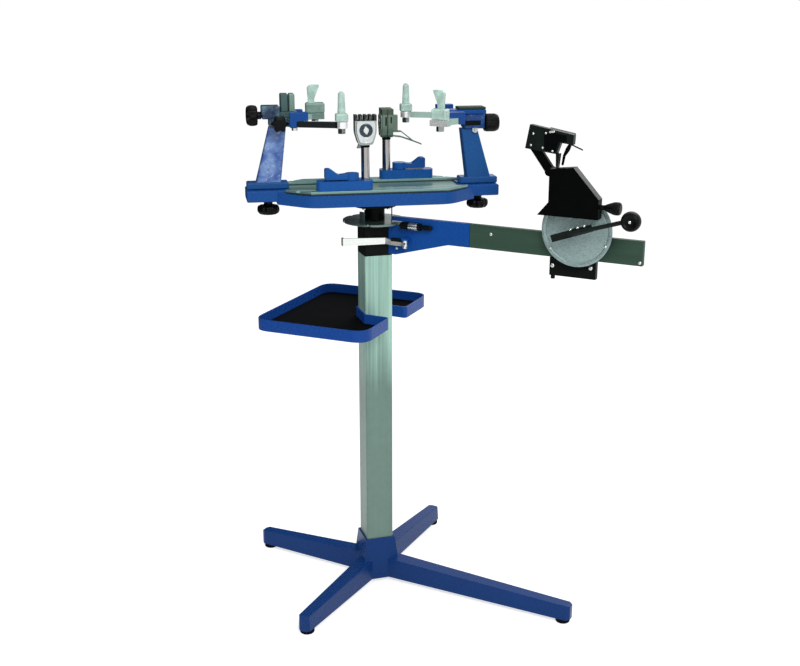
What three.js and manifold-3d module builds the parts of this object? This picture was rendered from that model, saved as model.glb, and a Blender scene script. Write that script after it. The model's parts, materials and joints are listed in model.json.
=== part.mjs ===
// A floor-standing racket stringing machine: a cast base and a square column carry a turntable
// with racket supports and two string clamps, and an arm with a crank tension head.
// Millimetres, +Z up. +X runs along the tension arm, and the machine stands on Z = 0.
import * as THREE from "three";
import { ConvexGeometry } from "three/addons/geometries/ConvexGeometry.js";
import { mergeVertices } from "three/addons/utils/BufferGeometryUtils.js";
import Module from "manifold-3d";

// Clearances
const gap = 0.3; // between pieces that touch
const boreGap = 0.5; // round a shaft that turns or slides in its hole
const overrun = 3; // how far a cut runs past the piece it cuts
const bite = 1; // how far a joined shape reaches into its neighbour
const chamfer = 2; // broken edges of the castings

// Base
const footRadius = 16;
const footHeight = 9;
const shortLegReach = 305; // column axis to foot centre, three short legs
const longLegReach = 474; // the leg below the tension arm
const legOverhang = 19; // past the foot centre
const crossLegShift = 5; // the front and back legs stand this far behind the column axis
const legEndWidth = 30;
const legRootWidth = 43;
const legEndHeight = 35;
const legRootHeight = 48;
const hubBottomWidth = 92; // across its flats
const hubWall = 4;
const hubHeight = 99;
const hubFloor = 10;

// Column and neck
const columnSize = 63;
const columnWall = 3;
const columnCorner = 4;
const columnLength = 770;
const neckHeight = 70;
const neckSpigot = 45; // the length of the neck block inside the column
const bearingRadius = 24;
const bearingHeight = 20;
const shaftRadius = 12;
const shaftReach = 66; // from the brake disc down into the neck block
const discClearance = 1.4; // between the neck block and the brake disc
const discRadius = 70;
const discThickness = 4.5;
const notchRadius = 4.5;
const notchCount = 6;
const tabWidth = 13; // two strips that stand on the disc, one of them up to the spindle flange
const tabThickness = 3;
const tallTabPlace = 38; // from the axis
const shortTabPlace = 42;
const shortTabHeight = 22;
const tallTabTurn = -10.3; // degrees from the turntable's length
const shortTabTurn = 221.2;
const spindleRadius = 22.5;
const spindleHeight = 30;
const flangeRadius = 48.5;
const flangeThickness = 15;

// Tool tray
const trayDrop = 129.6; // from the column's top down to the tray's rim
const trayHeight = 26;
const trayWall = 3;
const trayBack = 213; // from the column axis away from the tension arm
const trayFront = 58; // from the column axis towards the tension arm
const trayHalfWidth = 177;
const trayTurn = 4.5; // degrees, how far the tray is turned on the column
const trayCorner = 36;
const trayNotchHalfWidth = 46;
const trayNotchCorner = 10;
const linerThickness = 2;
const linerInset = 1.5;

// Tension arm
const railLength = 375;
const railHeight = 50.5;
const railDepth = 13;
const railStart = 233; // from the column axis
const railCentreAboveColumn = 62.2;
const bracketDeep = 84; // height of the bracket at the neck
const bracketSlopeEnd = 183; // from the column axis, where its lower edge levels out
const bracketSlopeStart = 56;
const bracketInner = 28; // its two prongs beside the neck block
const bracketTongue = 52; // the lap behind the rail
const tongueThickness = 8;
const tongueHalfHeight = 18;
const slotClearance = 2.5; // above and below the disc where it runs through the bracket
const discSlotRadius = 73.5;
const drumSlotRadius = 47;
const rackDepth = 5;
const rackHeight = 12;
const rackDrop = 1.5; // from the top of the rail to the top of the rack
const rackInset = 56; // from the rail's inner end
const rackEnd = 3; // from its outer end
const railEdge = 0.8;

// Brake lever
const leverHeight = 17;
const leverThickness = 4;
const leverTipX = -31;
const leverTipY = -83;
const leverBendX = 37;
const leverBendY = -16;
const leverTipTurn = 8;
const leverNeckX = 56; // where the blade narrows towards its pivot
const leverNeckHeight = 10;
const leverEndHeight = 7;
const leverPivotX = 87;
const leverPivotY = -22;
const leverBarrelRadius = 5;
const leverBarrelHeight = 13;
const leverPinRadius = 3;
const leverDrop = 42.5; // from the top of the neck block to the lever's lower edge
const lugWidth = 12;
const lugThickness = 5;

// Index plunger
const pinRadius = 3;
const plungerRadius = 8;
const plungerStart = 75; // from the column axis
const plungerLength = 47;
const plungerBlockLength = 26;
const pinTip = 70; // from the column axis, drawn back
const pinKnobStart = 127;
const pinKnobRadius = 5.5;
const pinKnobLength = 22;

// Turntable
const restTurn = 38.2; // degrees between the turntable and the tension arm
const bedHeight = 25;
const bedHalfWidth = 98;
const bedStraight = 150; // half of the full-width length
const bedTaperEnd = 215;
const bedCorner = 24;
const bedWall = 8;
const bedDeck = 8;
const bossRadius = 54;
const endHalfWidth = 38;
const endStart = 185; // from the axis
const endReaches = { right: 271, left: 279 }; // the bed's ends from the axis
const endRise = 4.5; // above the deck
const endDrop = 5.5; // the end blocks' underside above the bed's underside
const lockSlotHalfWidth = 5.5;
const towerTravel = 40;
const railStripThickness = 8;
const railStripInner = 50; // from the turntable's centre line
const railStripOuter = 90;
const railStripLongHalf = 198;
const railStripShortHalf = 148;
const grooveHalfWidth = 3;
const grooveDepth = 4;

// Towers
const towerBaseHeight = 14.5;
const towerBaseLengths = { right: 84, left: 89 };
const towerBaseInner = 188;
const towerBaseHalfWidth = 19;
const postFootInner = 204;
const postFootOuter = 257;
const postHeadInner = 190;
const postHeadOuter = 226;
const postFootHalfWidth = 15;
const postHeadHalfWidth = 14;
const throatTowerHeight = 116.8; // above the base block, left tower
const headTowerHeight = 104.8; // right tower
const lockPlace = 232; // the lock bolt from the turntable's axis
const lockBoltRadius = 4.7;
const lockKnobRadius = 24;
const lockKnobHeight = 19;
const lockNeckRadius = 10;
const lockNeckHeight = 12;
const lockRoom = 1.5; // round the lock knob's neck where it runs through the bed's wall
const lockBoltDepth = 10; // into the tower base
const lockLobes = 12;

// Yokes on the towers
const armAboveThroatTower = 10.3; // centre of the side arms above the left tower's top
const yokeHalfWidth = 20;
const yokeOuter = 241;
const ledgeInner = 162;
const upstandInner = 203;
const upstandHeight = 25;
const upstandDrop = 2; // its underside below the ledge's top
const ledgeOuter = 226;
const beamPlace = 179; // the cross beam that guides the side arms
const beamHalfLength = 38;
const beamHalfWidth = 9;
const beamHalfHeight = 8.5;
const screwRadius = 4;
const throatScrewHeight = 4.6; // above the ledge
const headScrewDrop = 11.5; // below the side arms' centre
const headBlockInner = 196;
const lugSlotInner = 206;
const lugSlotOuter = 232;
const lugHalfWidth = 7.7;
const lugHalfLength = 7;
const lugPlace = 219;
const lugFloor = 16.5; // the slot's floor below the side arms' centre
const sideKnobPlace = 206;
const sideScrewDepth = 10;

// Racket supports at the ends
const throatInner = 166;
const throatHalfWidth = 19;
const throatBodyHeight = 12.5;
const throatPostHalfWidth = 14;
const throatPostHeight = 37;
const throatPostEdges = [170.5, 183, 184.5, 201]; // two uprights, inner and outer faces
const throatBoreDepth = 16;
const headPlateInner = 156;
const headPlateOuter = 244;
const headPlateThickness = 10;
const headLipThickness = 6;
const headLipDrop = 9;
const padInner = 183;
const padHalfWidth = 19;
const padThickness = 5;

// Knobs of the supports
const starRadius = 23.5;
const starThickness = 23;
const starLobes = 6;
const starHub = 8; // the hub's length between the yoke and the star
const hubRadius = 8;
const barrelRadius = 19.5;
const barrelLength = 33;
const barrelNeck = 2;
const sideStarRadius = 18.7;
const sideStarThickness = 15;
const sideStarHub = 22;
const lobeDepthShare = 0.13; // of a knob's radius

// Side arms and their pads
const armBlockHalfLength = 7;
const armBlockInner = 48;
const armBlockOuter = 66;
const armBarHeight = 13;
const armBarThickness = 9;
const longSleeveHeight = 18; // above the bar
const shortSleeveHeight = 12;
const armSleeveInner = 148;
const armGuideRadius = 5;
const armGuideLength = 28;
const guideBoreDepth = 30;
const eyeRadius = 12;
const eyeBlockHalfLength = 20; // the short arms end in a block below the leaf pad
const eyeBlockHalfWidth = 10;
const padOffset = 92; // of the pads from the turntable's centre line
const padBoltRadius = 4;
const nutRadius = 8.5;
const nutHeight = 11;
const slimBaseLength = 26;
const slimBaseWidth = 22;
const slimBaseHeight = 17;
const slimPostRadius = 8.5;
const slimTipRadius = 6.8;
const padHeight = 61;
const slimRound = 4;
const leafBaseLengths = { right: 34, left: 42 };
const leafPlaces = { right: 2, left: 8 }; // the leaf's foot from the pad's bolt
const leafBaseWidth = 22;
const leafBaseHeight = 22;
const leafThickness = 8;
const leafWidth = 28;
const leafNeckWidth = 14;
const leafLean = 5;
const longArmPads = { right: 87, left: 82 }; // from the turntable's axis
const shortArmPads = { right: 126, left: 117 };
const leafPadTurns = { right: -38, left: 0 }; // degrees

// String clamps
const clampPlaces = { rear: 37, front: 28.5 }; // the posts from the turntable's axis
const clampHeadTurns = { rear: -90, front: 180 };
const clampInner = 50; // the base's two long faces from the turntable's centre line
const clampOuter = 87;
const clampBaseLength = 119;
const clampBaseHeight = 19.5;
const clampEnd = 13.5; // from the post to the base's inner end
const clampPostInset = 10; // from the base's inner face
const clampPostRadius = 9;
const clampPostHeight = 72.5; // above the base
const clampPostDepth = 16; // inside the base
const clampCornerRadius = 12;
const camPlace = 30; // the cam's pivot from the post
const camReach = 58; // from its pivot to the thumb end
const camHubRadius = 15;
const camHubHeight = 15;
const camArmLow = 2; // the arm's underside above the base
const camArmHigh = 12; // the arm's upper side at the dip
const camThumbHigh = 25.5;
const camHalfWidth = 11;
const camPinRadius = 4;
const jawHalfWidth = 23;
const jawFootHalfWidth = 15;
const jawHeight = 63; // with the teeth
const jawPlate = 12;
const jawRound = 7; // of its lower corners
const jawSlit = 1.2;
const jawShoulder = 12; // from the tooth tips to the plate
const jawToothRows = 5;
const jawToothWidth = 6;
const jawCapRadius = 14.5;
const jawCapThickness = 3;
const jawFootHeight = 26;
const squeezeLength = 66;
const squeezeWidth = 14;
const squeezeThickness = 3;
const squeezeDrop = 29;
const squeezeHigh = 14; // its upper leaf's root above the jaw's foot
const squeezeSpread = 9; // from the upper leaf down to the lower one at the root
const squeezeBend = 20; // from the jaw to the bend of the leaves
const squeezeJoin = 48; // from the jaw to where the two leaves meet
const squeezeJoinDrop = 22; // from the upper leaf's root down to there
const squeezeBlockLength = 12;
const squeezeBlockHalfHeight = 17;

// Tension head
const headPlace = 474; // the crank's axis from the column axis
const crankAboveRail = 11.6; // the crank's axis above the top of the rail
const carriageLeft = 60;
const carriageRight = 39;
const cheekRight = 27; // the cheek ends further in, all from the crank's axis
const carriageLowHeight = 38;
const carriageTopHalfLength = 30;
const carriageTopHeight = 24;
const cheekThickness = 6;
const cheekHeight = 52; // above the crank's axis
const mastHeight = 112;
const mastInner = 30; // its right face, left of the crank's axis
const pinionRadius = 11.7;
const pinionWidth = 5;
const crankShaftRadius = 6;
const lockLegRadius = 4.5;
const lockLegHeight = 8;
const lockLegPlace = 55; // towards the column from the crank's axis
const wheelRadius = 74;
const wheelThickness = 5;
const wheelStandOff = 11; // in front of the rail's face
const coverFront = 39.5; // in front of the rail's face
const coverDepth = 22;
const coverWall = 3;
const coverBottom = 30; // above the crank's axis
const coverLeft = 76; // the cover's lower left tip from the crank's axis
const coverBodyLeft = 53;
const coverRight = 51;
const coverStep = 57; // height where the left tip meets the body
const coverTopLeft = 123;
const coverTopRight = 129;
const coverTopInner = 3; // the top's right corner, left of the crank's axis
const coverShoulder = 70; // height where the slope starts
const coverDeepBottom = 79; // above the crank's axis, clear of the wheel
const earThickness = 5;
const earRadius = 9.5;
const crankHubRadius = 7;
const crankHubLength = 25.5;
const crankBarLength = 88;
const crankBarWidth = 14.5;
const crankBarThickness = 4;
const crankBarTurn = 19.5; // degrees above the rail's direction
const crankRodTurn = 17.3;
const crankRodRadius = 4.5;
const crankReach = 132;
const crankPinLength = 26;
const crankPinRadius = 4;
const crankKnobRadius = 20;
const crankKnobLength = 25;
const tensionKnobRadius = 13;
const tensionKnobNeck = 5;
const tensionKnobLength = 42;
const tensionKnobHeight = 54; // above the crank's axis
const tensionKnobInside = 10;

// Gripper
const gripPivotX = -67; // from the crank's axis
const gripPivotHeight = 112;
const gripPivotRadius = 8.5;
const gripPinRadius = 4;
const gripArmWidth = 19;
const gripArmThickness = 9;
const gripHeadX = -113; // the arm's upper end from the crank's axis
const gripHeadHeight = 173;
const gripPlateThickness = 13;
const gripJawThickness = 12;
const gripOutline = [[-108, 205], [-15, 189], [-16, 169], [-42, 172], [-50, 149], [-117, 157]];
const gripJawOutline = [[-72, 198.5], [-20, 189.5], [-21, 171], [-72, 176]];
const gripStrut = [[-52, 150], [-44, 150], [-47, 122], [-51, 122]];
const gripLinkPoints = [[-26, 172], [-33, 158], [-40, 145], [-43, 127]];
const gripLinkRadii = [2.5, 5, 3, 2.5];
const gripWireLength = 24;
const gripWireDrop = 14;
const gripWireRadius = 1.6;

// Finishes
const bluePaint = new THREE.MeshStandardMaterial({ color: 0x1f4fa3, roughness: 0.35, metalness: 0.1 });
const brushedTube = new THREE.MeshStandardMaterial({ color: 0xa9b8b0, roughness: 0.4, metalness: 0.9 });
const railGreen = new THREE.MeshStandardMaterial({ color: 0x42594f, roughness: 0.5, metalness: 0.6 });
const blackSteel = new THREE.MeshStandardMaterial({ color: 0x101312, roughness: 0.45, metalness: 0.3 });
const blackPlastic = new THREE.MeshStandardMaterial({ color: 0x0b0b0c, roughness: 0.5, metalness: 0 });
const rubber = new THREE.MeshStandardMaterial({ color: 0x151515, roughness: 0.9, metalness: 0 });
const brightSteel = new THREE.MeshStandardMaterial({ color: 0xd6dcd8, roughness: 0.25, metalness: 0.9 });
const chromePlate = new THREE.MeshStandardMaterial({ color: 0xe6e6e6, roughness: 0.1, metalness: 1 });
const satinAlloy = new THREE.MeshStandardMaterial({ color: 0xaebbb8, roughness: 0.5, metalness: 0.7 });
const clearNylon = new THREE.MeshStandardMaterial({ color: 0xbfd8cc, roughness: 0.3, metalness: 0 });

// Heights that follow from the sizes above
const legUnderside = footHeight + gap;
const hubTop = legUnderside + hubHeight;
const columnFoot = legUnderside + hubFloor + gap;
const columnTop = columnFoot + columnLength;
const trayTop = columnTop - trayDrop;
const neckBottom = columnTop + gap;
const neckTop = neckBottom + neckHeight;
const discBottom = neckTop + discClearance;
const discTop = discBottom + discThickness;
const spindleBottom = discTop + gap;
const flangeBottom = spindleBottom + spindleHeight;
const flangeTop = flangeBottom + flangeThickness;
const bedBottom = flangeTop + gap;
const bedTop = bedBottom + bedHeight;
const endBottom = bedBottom + endDrop;
const endTop = bedTop + endRise;
const towerFoot = endTop + gap;
const towerBaseTop = towerFoot + towerBaseHeight;
const throatTowerTop = towerBaseTop + throatTowerHeight;
const headTowerTop = towerBaseTop + headTowerHeight;
const armCentre = throatTowerTop + armAboveThroatTower;
const ledgeTop = armCentre + beamHalfHeight;
const armTop = armCentre + armBarHeight / 2;
const armBottom = armCentre - armBarHeight / 2;
const stripBottom = bedTop + gap;
const stripTop = stripBottom + railStripThickness;
const clampFoot = stripTop + gap;
const clampBaseTop = clampFoot + clampBaseHeight;
const jawFoot = clampBaseTop + clampPostHeight;
const jawTop = jawFoot + jawHeight;
const railCentre = columnTop + railCentreAboveColumn;
const railTop = railCentre + railHeight / 2;
const railBottom = railCentre - railHeight / 2;
const railFace = railDepth / 2;
const crankHeight = railTop + crankAboveRail;
const leverBottom = neckTop - leverDrop;
const plungerY = -(railFace + plungerRadius + gap);
const boreSides = 20;
const roundSides = 32;
const wideSides = 40;

const wasm = await Module();
wasm.setup();

// A closed geometry as a solid that can be joined or cut.
function solidOf(geometry) {
  const bare = geometry.index ? geometry.toNonIndexed() : geometry.clone();
  bare.deleteAttribute("normal");
  bare.deleteAttribute("uv");
  const merged = mergeVertices(bare);
  const corners = [];
  for (let i = 0; i < merged.index.count; i += 3) {
    const [a, b, c] = [merged.index.getX(i), merged.index.getX(i + 1), merged.index.getX(i + 2)];
    if (a !== b && b !== c && c !== a) corners.push(a, b, c);
  }
  return new wasm.Manifold(new wasm.Mesh({
    numProp: 3,
    vertProperties: merged.attributes.position.array,
    triVerts: new Uint32Array(corners),
  }));
}

function joined(...solids) {
  return solids.reduce((whole, next) => whole.add(next));
}

function cut(solid, ...cutters) {
  return cutters.reduce((whole, next) => whole.subtract(next), solid);
}

// A box between two corners.
function block([x0, y0, z0], [x1, y1, z1]) {
  const box = new THREE.BoxGeometry(Math.abs(x1 - x0), Math.abs(y1 - y0), Math.abs(z1 - z0));
  return solidOf(box.translate((x0 + x1) / 2, (y0 + y1) / 2, (z0 + z1) / 2));
}

// The tight skin round a list of points.
function skin(points) {
  return solidOf(new ConvexGeometry(points.map((p) => new THREE.Vector3(...p))));
}

// A box whose edges are broken by a chamfer.
function casting([x0, y0, z0], [x1, y1, z1], edge = chamfer) {
  const points = [];
  for (const [x, dx] of [[x0, edge], [x1, -edge]]) {
    for (const [y, dy] of [[y0, edge], [y1, -edge]]) {
      for (const [z, dz] of [[z0, edge], [z1, -edge]]) {
        points.push([x, y + dy, z + dz], [x + dx, y, z + dz], [x + dx, y + dy, z]);
      }
    }
  }
  return skin(points);
}

// Turns a geometry that stands along Z so that it lies along the named axis.
function lay(geometry, axis) {
  if (axis === "x") geometry.rotateY(Math.PI / 2);
  if (axis === "y") geometry.rotateX(-Math.PI / 2);
  return geometry;
}

// A round bar along an axis, from one place on that axis to another, through a centre.
function bar(axis, radius, from, to, [x, y, z], sides = boreSides) {
  const geometry = new THREE.CylinderGeometry(radius, radius, Math.abs(to - from), sides);
  geometry.rotateX(Math.PI / 2).translate(0, 0, (from + to) / 2);
  return solidOf(lay(geometry, axis).translate(x, y, z));
}

// A turned shape along an axis: pairs of radius and place, from one end on the axis to the other.
function turned(axis, profile, [x, y, z], sides = roundSides) {
  const geometry = new THREE.LatheGeometry(profile.map(([r, h]) => new THREE.Vector2(r, h)), sides);
  geometry.rotateX(Math.PI / 2);
  return solidOf(lay(geometry, axis).translate(x, y, z));
}

// An outline with its corners rounded, for an extruded shape.
function roundedShape(points, radii) {
  const shape = new THREE.Shape();
  points.forEach((corner, i) => {
    const radius = Array.isArray(radii) ? radii[i] : radii;
    const here = new THREE.Vector2(...corner);
    const before = new THREE.Vector2(...points.at(i - 1)).sub(here).setLength(radius).add(here);
    const next = new THREE.Vector2(...points[(i + 1) % points.length]);
    const after = next.sub(here).setLength(radius).add(here);
    if (i === 0) shape.moveTo(before.x, before.y);
    else shape.lineTo(before.x, before.y);
    if (radius > 0) shape.quadraticCurveTo(here.x, here.y, after.x, after.y);
  });
  shape.closePath();
  return shape;
}

// An upright prism over a plan outline.
function prism(shape, low, high, curveSegments = 5) {
  const geometry = new THREE.ExtrudeGeometry(
    shape, { depth: high - low, bevelEnabled: false, curveSegments },
  );
  return solidOf(geometry.translate(0, 0, low));
}

// A plate whose outline lies in the X-Z plane, between two places along Y.
function sidePlate(shape, front, back, curveSegments = 5) {
  const geometry = new THREE.ExtrudeGeometry(
    shape, { depth: back - front, bevelEnabled: false, curveSegments },
  );
  return solidOf(geometry.rotateX(Math.PI / 2).translate(0, back, 0));
}

// A straight flat strip between two points in plan, standing on its edge. Its far end may be lower.
function strip([x0, y0], [x1, y1], thickness, low, high, farHigh = high) {
  const length = Math.hypot(x1 - x0, y1 - y0);
  const across = [(-(y1 - y0) * thickness) / 2 / length, ((x1 - x0) * thickness) / 2 / length];
  const points = [];
  for (const side of [-1, 1]) {
    for (const [x, y, top] of [[x0, y0, high], [x1, y1, farHigh]]) {
      const corner = [x + side * across[0], y + side * across[1]];
      points.push([...corner, low], [...corner, top]);
    }
  }
  return skin(points);
}

// A square prism whose corners point along X and Y, as the column stands.
function cornerwise(size, low, high, corner = 0) {
  const half = size / 2;
  const shape = roundedShape([[-half, -half], [half, -half], [half, half], [-half, half]], corner);
  const geometry = new THREE.ExtrudeGeometry(
    shape, { depth: high - low, bevelEnabled: false, curveSegments: 3 },
  );
  return solidOf(geometry.rotateZ(Math.PI / 4).translate(0, 0, low));
}

// The lobed outline of a hand knob.
function lobedKnob(axis, radius, lobes, from, to, centre) {
  const depth = radius * lobeDepthShare;
  const steps = lobes * 4;
  const outline = Array.from({ length: steps }, (_, i) => {
    const turn = (2 * Math.PI * i) / steps;
    const r = radius - depth + depth * Math.cos(lobes * turn);
    return new THREE.Vector2(r * Math.cos(turn), r * Math.sin(turn));
  });
  const geometry = new THREE.ExtrudeGeometry(
    new THREE.Shape(outline), { depth: to - from, bevelEnabled: false },
  );
  return solidOf(lay(geometry.translate(0, 0, from), axis).translate(...centre));
}

function piece(name, solid, material) {
  const mesh = solid.getMesh();
  const geometry = new THREE.BufferGeometry();
  geometry.setAttribute("position", new THREE.BufferAttribute(mesh.vertProperties, 3));
  geometry.setIndex(new THREE.BufferAttribute(mesh.triVerts, 1));
  geometry.computeVertexNormals();
  const made = new THREE.Mesh(geometry, material);
  made.name = name;
  return made;
}

function group(...members) {
  const made = new THREE.Group();
  made.add(...members);
  return made;
}

// One leg of the base, tapering from the hub to its end, along a direction in plan.
function leg({ reach, turn, shift }) {
  const end = reach + legOverhang;
  const points = [];
  for (const side of [-1, 1]) {
    points.push([0, (side * legRootWidth) / 2, legUnderside]);
    points.push([0, (side * legRootWidth) / 2 - side * chamfer, legUnderside + legRootHeight]);
    points.push([end - legEndWidth / 4, (side * legEndWidth) / 2, legUnderside]);
    points.push(
      [end - legEndWidth / 4, (side * legEndWidth) / 2 - side * chamfer, legUnderside + legEndHeight],
    );
    points.push([end, (side * legEndWidth) / 4, legUnderside]);
    points.push([end, (side * legEndWidth) / 4, legUnderside + legEndHeight - chamfer]);
  }
  const geometry = new ConvexGeometry(points.map((p) => new THREE.Vector3(...p)));
  return solidOf(geometry.rotateZ(turn).translate(-shift, 0, 0));
}

const legPlaces = [
  { name: "right", reach: longLegReach, turn: 0, shift: 0 },
  { name: "back", reach: shortLegReach, turn: Math.PI / 2, shift: crossLegShift },
  { name: "left", reach: shortLegReach, turn: Math.PI, shift: 0 },
  { name: "front", reach: shortLegReach, turn: -Math.PI / 2, shift: crossLegShift },
];

function baseCasting() {
  const low = hubBottomWidth / 2;
  const high = columnSize / 2 + hubWall;
  const corners = [];
  for (const [half, z] of [[low, legUnderside], [high, hubTop]]) {
    for (const x of [-half, half]) for (const y of [-half, half]) corners.push(new THREE.Vector3(x, y, z));
  }
  const hub = solidOf(new ConvexGeometry(corners).rotateZ(Math.PI / 4));
  const legs = legPlaces.map(leg);
  const socket = cornerwise(columnSize + 2 * gap, columnFoot - gap, hubTop + overrun, columnCorner);
  return piece("base_casting", cut(joined(hub, ...legs), socket), bluePaint);
}

function foot({ name, reach, turn, shift }) {
  const profile = [
    [0, 0], [footRadius - chamfer, 0], [footRadius, chamfer],
    [footRadius, footHeight / 2], [footRadius - chamfer, footHeight], [0, footHeight],
  ];
  const centre = [reach * Math.cos(turn) - shift, reach * Math.sin(turn), 0];
  return piece(`foot_${name}`, turned("z", profile, centre, boreSides), rubber);
}

function column() {
  const tube = cornerwise(columnSize, columnFoot, columnTop, columnCorner);
  const inside = cornerwise(columnSize - 2 * columnWall, columnFoot - overrun, columnTop + overrun);
  return piece("column_tube", cut(tube, inside), brushedTube);
}

function neck() {
  const head = cornerwise(columnSize, neckBottom, neckTop, columnCorner);
  const spigotSize = columnSize - 2 * columnWall - 2 * gap;
  const spigot = cornerwise(spigotSize, neckBottom - neckSpigot, neckBottom + bite);
  const seat = bar(
    "z", bearingRadius + gap, neckTop - bearingHeight + gap, neckTop + overrun, [0, 0, 0], roundSides,
  );
  const bore = bar(
    "z", shaftRadius + bite, neckBottom - neckSpigot - overrun, neckTop, [0, 0, 0], boreSides,
  );
  return piece("neck_block", cut(joined(head, spigot), seat, bore), blackSteel);
}

function bearing() {
  const low = neckTop - bearingHeight + 2 * gap;
  const high = discBottom - gap;
  const ring = bar("z", bearingRadius, low, high, [0, 0, 0], roundSides);
  const hole = bar("z", shaftRadius + boreGap, low - overrun, high + overrun, [0, 0, 0]);
  return piece("spindle_bearing", cut(ring, hole), brightSteel);
}

function spindle() {
  const profile = [
    [0, discBottom - shaftReach], [shaftRadius, discBottom - shaftReach], [shaftRadius, spindleBottom],
    [spindleRadius, spindleBottom], [spindleRadius, flangeBottom], [flangeRadius, flangeBottom],
    [flangeRadius, flangeTop], [0, flangeTop],
  ];
  return piece("spindle", turned("z", profile, [0, 0, 0], wideSides), blackSteel);
}

// The thin disc under the turntable: notches in its rim take the index pin.
function brakeDisc() {
  const plate = bar("z", discRadius, discBottom, discTop, [0, 0, 0], wideSides + roundSides);
  const hole = bar("z", shaftRadius + gap, discBottom - overrun, discTop + overrun, [0, 0, 0]);
  const pinTurn = Math.asin(plungerY / discRadius) - THREE.MathUtils.degToRad(restTurn);
  const notches = Array.from({ length: notchCount }, (_, i) => {
    const turn = pinTurn + (2 * Math.PI * i) / notchCount;
    const centre = [discRadius * Math.cos(turn), discRadius * Math.sin(turn), 0];
    return bar("z", notchRadius, discBottom - overrun, discTop + overrun, centre, 12);
  });
  const tabs = [
    { degrees: tallTabTurn, place: tallTabPlace, top: flangeBottom - gap },
    { degrees: shortTabTurn, place: shortTabPlace, top: discTop + shortTabHeight },
  ].map(({ degrees, place, top }) => {
    const tab = new THREE.BoxGeometry(tabThickness, tabWidth, top - discTop + bite);
    tab.translate(place, 0, (top + discTop - bite) / 2);
    return solidOf(tab.rotateZ(THREE.MathUtils.degToRad(degrees)));
  });
  return piece("brake_disc", joined(cut(plate, hole, ...notches), ...tabs), brightSteel);
}

// The tray's outline in plan: square corners rounded, with a V that seats on two faces of the column.
function trayShape(inset) {
  const apex = -(columnSize / 2 + gap) * Math.SQRT2 - inset * Math.SQRT2;
  const half = trayNotchHalfWidth + inset;
  const back = -trayBack + inset;
  const front = trayFront - inset;
  const side = trayHalfWidth - inset;
  const turn = THREE.MathUtils.degToRad(trayTurn);
  const corner = (x, y) => new THREE.Vector2(x, y).rotateAround(new THREE.Vector2(), turn).toArray();
  const frontAt = (y) => [front / Math.cos(turn) - y * Math.tan(turn), y];
  const points = [
    corner(back, -side), corner(front, -side), frontAt(-half), [apex + half, -half], [apex, 0],
    [apex + half, half], frontAt(half), corner(front, side), corner(back, side),
  ];
  const outer = trayCorner - inset;
  const radii = [outer, outer, trayNotchCorner, 0, 0, 0, trayNotchCorner, outer, outer];
  return roundedShape(points, radii);
}

function tray() {
  const shell = prism(trayShape(0), trayTop - trayHeight, trayTop);
  const inside = prism(trayShape(trayWall), trayTop - trayHeight + trayWall, trayTop + overrun);
  return piece("tool_tray", cut(shell, inside), bluePaint);
}

function liner() {
  const low = trayTop - trayHeight + trayWall + gap;
  return piece("tray_liner", prism(trayShape(trayWall + linerInset), low, low + linerThickness), rubber);
}

// The blue bracket wraps the neck's corner, has a slot for the brake disc and a lap behind the rail.
function armBracket() {
  const outline = roundedShape([
    [bracketInner, railTop - bracketDeep], [bracketSlopeStart, railTop - bracketDeep],
    [bracketSlopeEnd, railBottom], [railStart - gap, railBottom],
    [railStart - gap, railTop], [bracketInner, railTop],
  ], 0);
  const web = sidePlate(outline, -railFace, railFace);
  const tongue = block(
    [railStart - bracketTongue, railFace - bite, railCentre - tongueHalfHeight],
    [railStart + bracketTongue, railFace + gap + tongueThickness, railCentre + tongueHalfHeight],
  );
  const lap = block(
    [railStart - gap, -railFace, railBottom - overrun],
    [railStart + bracketTongue + overrun, railFace + gap, railTop],
  );
  const seat = cornerwise(columnSize + 2 * gap, railTop - bracketDeep - overrun, discBottom, columnCorner);
  const discSlot = bar(
    "z", discSlotRadius, discBottom - slotClearance, discTop + slotClearance, [0, 0, 0], wideSides,
  );
  const spindleRoom = bar("z", drumSlotRadius, discBottom, railTop + overrun, [0, 0, 0], wideSides);
  const lugLow = leverBottom + leverBarrelHeight + gap;
  const lug = block(
    [leverPivotX - lugWidth / 2, leverPivotY - lugWidth / 2, lugLow],
    [leverPivotX + lugWidth / 2, -railFace + bite, lugLow + lugThickness],
  );
  const pin = bar("z", leverPinRadius, leverBottom, lugLow + bite, [leverPivotX, leverPivotY, 0]);
  const arm = cut(joined(web, tongue), lap, seat, discSlot, spindleRoom);
  return piece("arm_bracket", joined(arm, lug, pin), bluePaint);
}

// The rail is a thick flat bar on edge, with the rack along its back.
function tensionRail() {
  const end = railStart + railLength;
  const flat = casting([railStart, -railFace, railBottom], [end, railFace, railTop], railEdge);
  const rack = block(
    [railStart + rackInset, railFace - bite, railTop - rackDrop - rackHeight],
    [end - rackEnd, railFace + rackDepth, railTop - rackDrop],
  );
  return piece("tension_rail", joined(flat, rack), railGreen);
}

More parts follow.
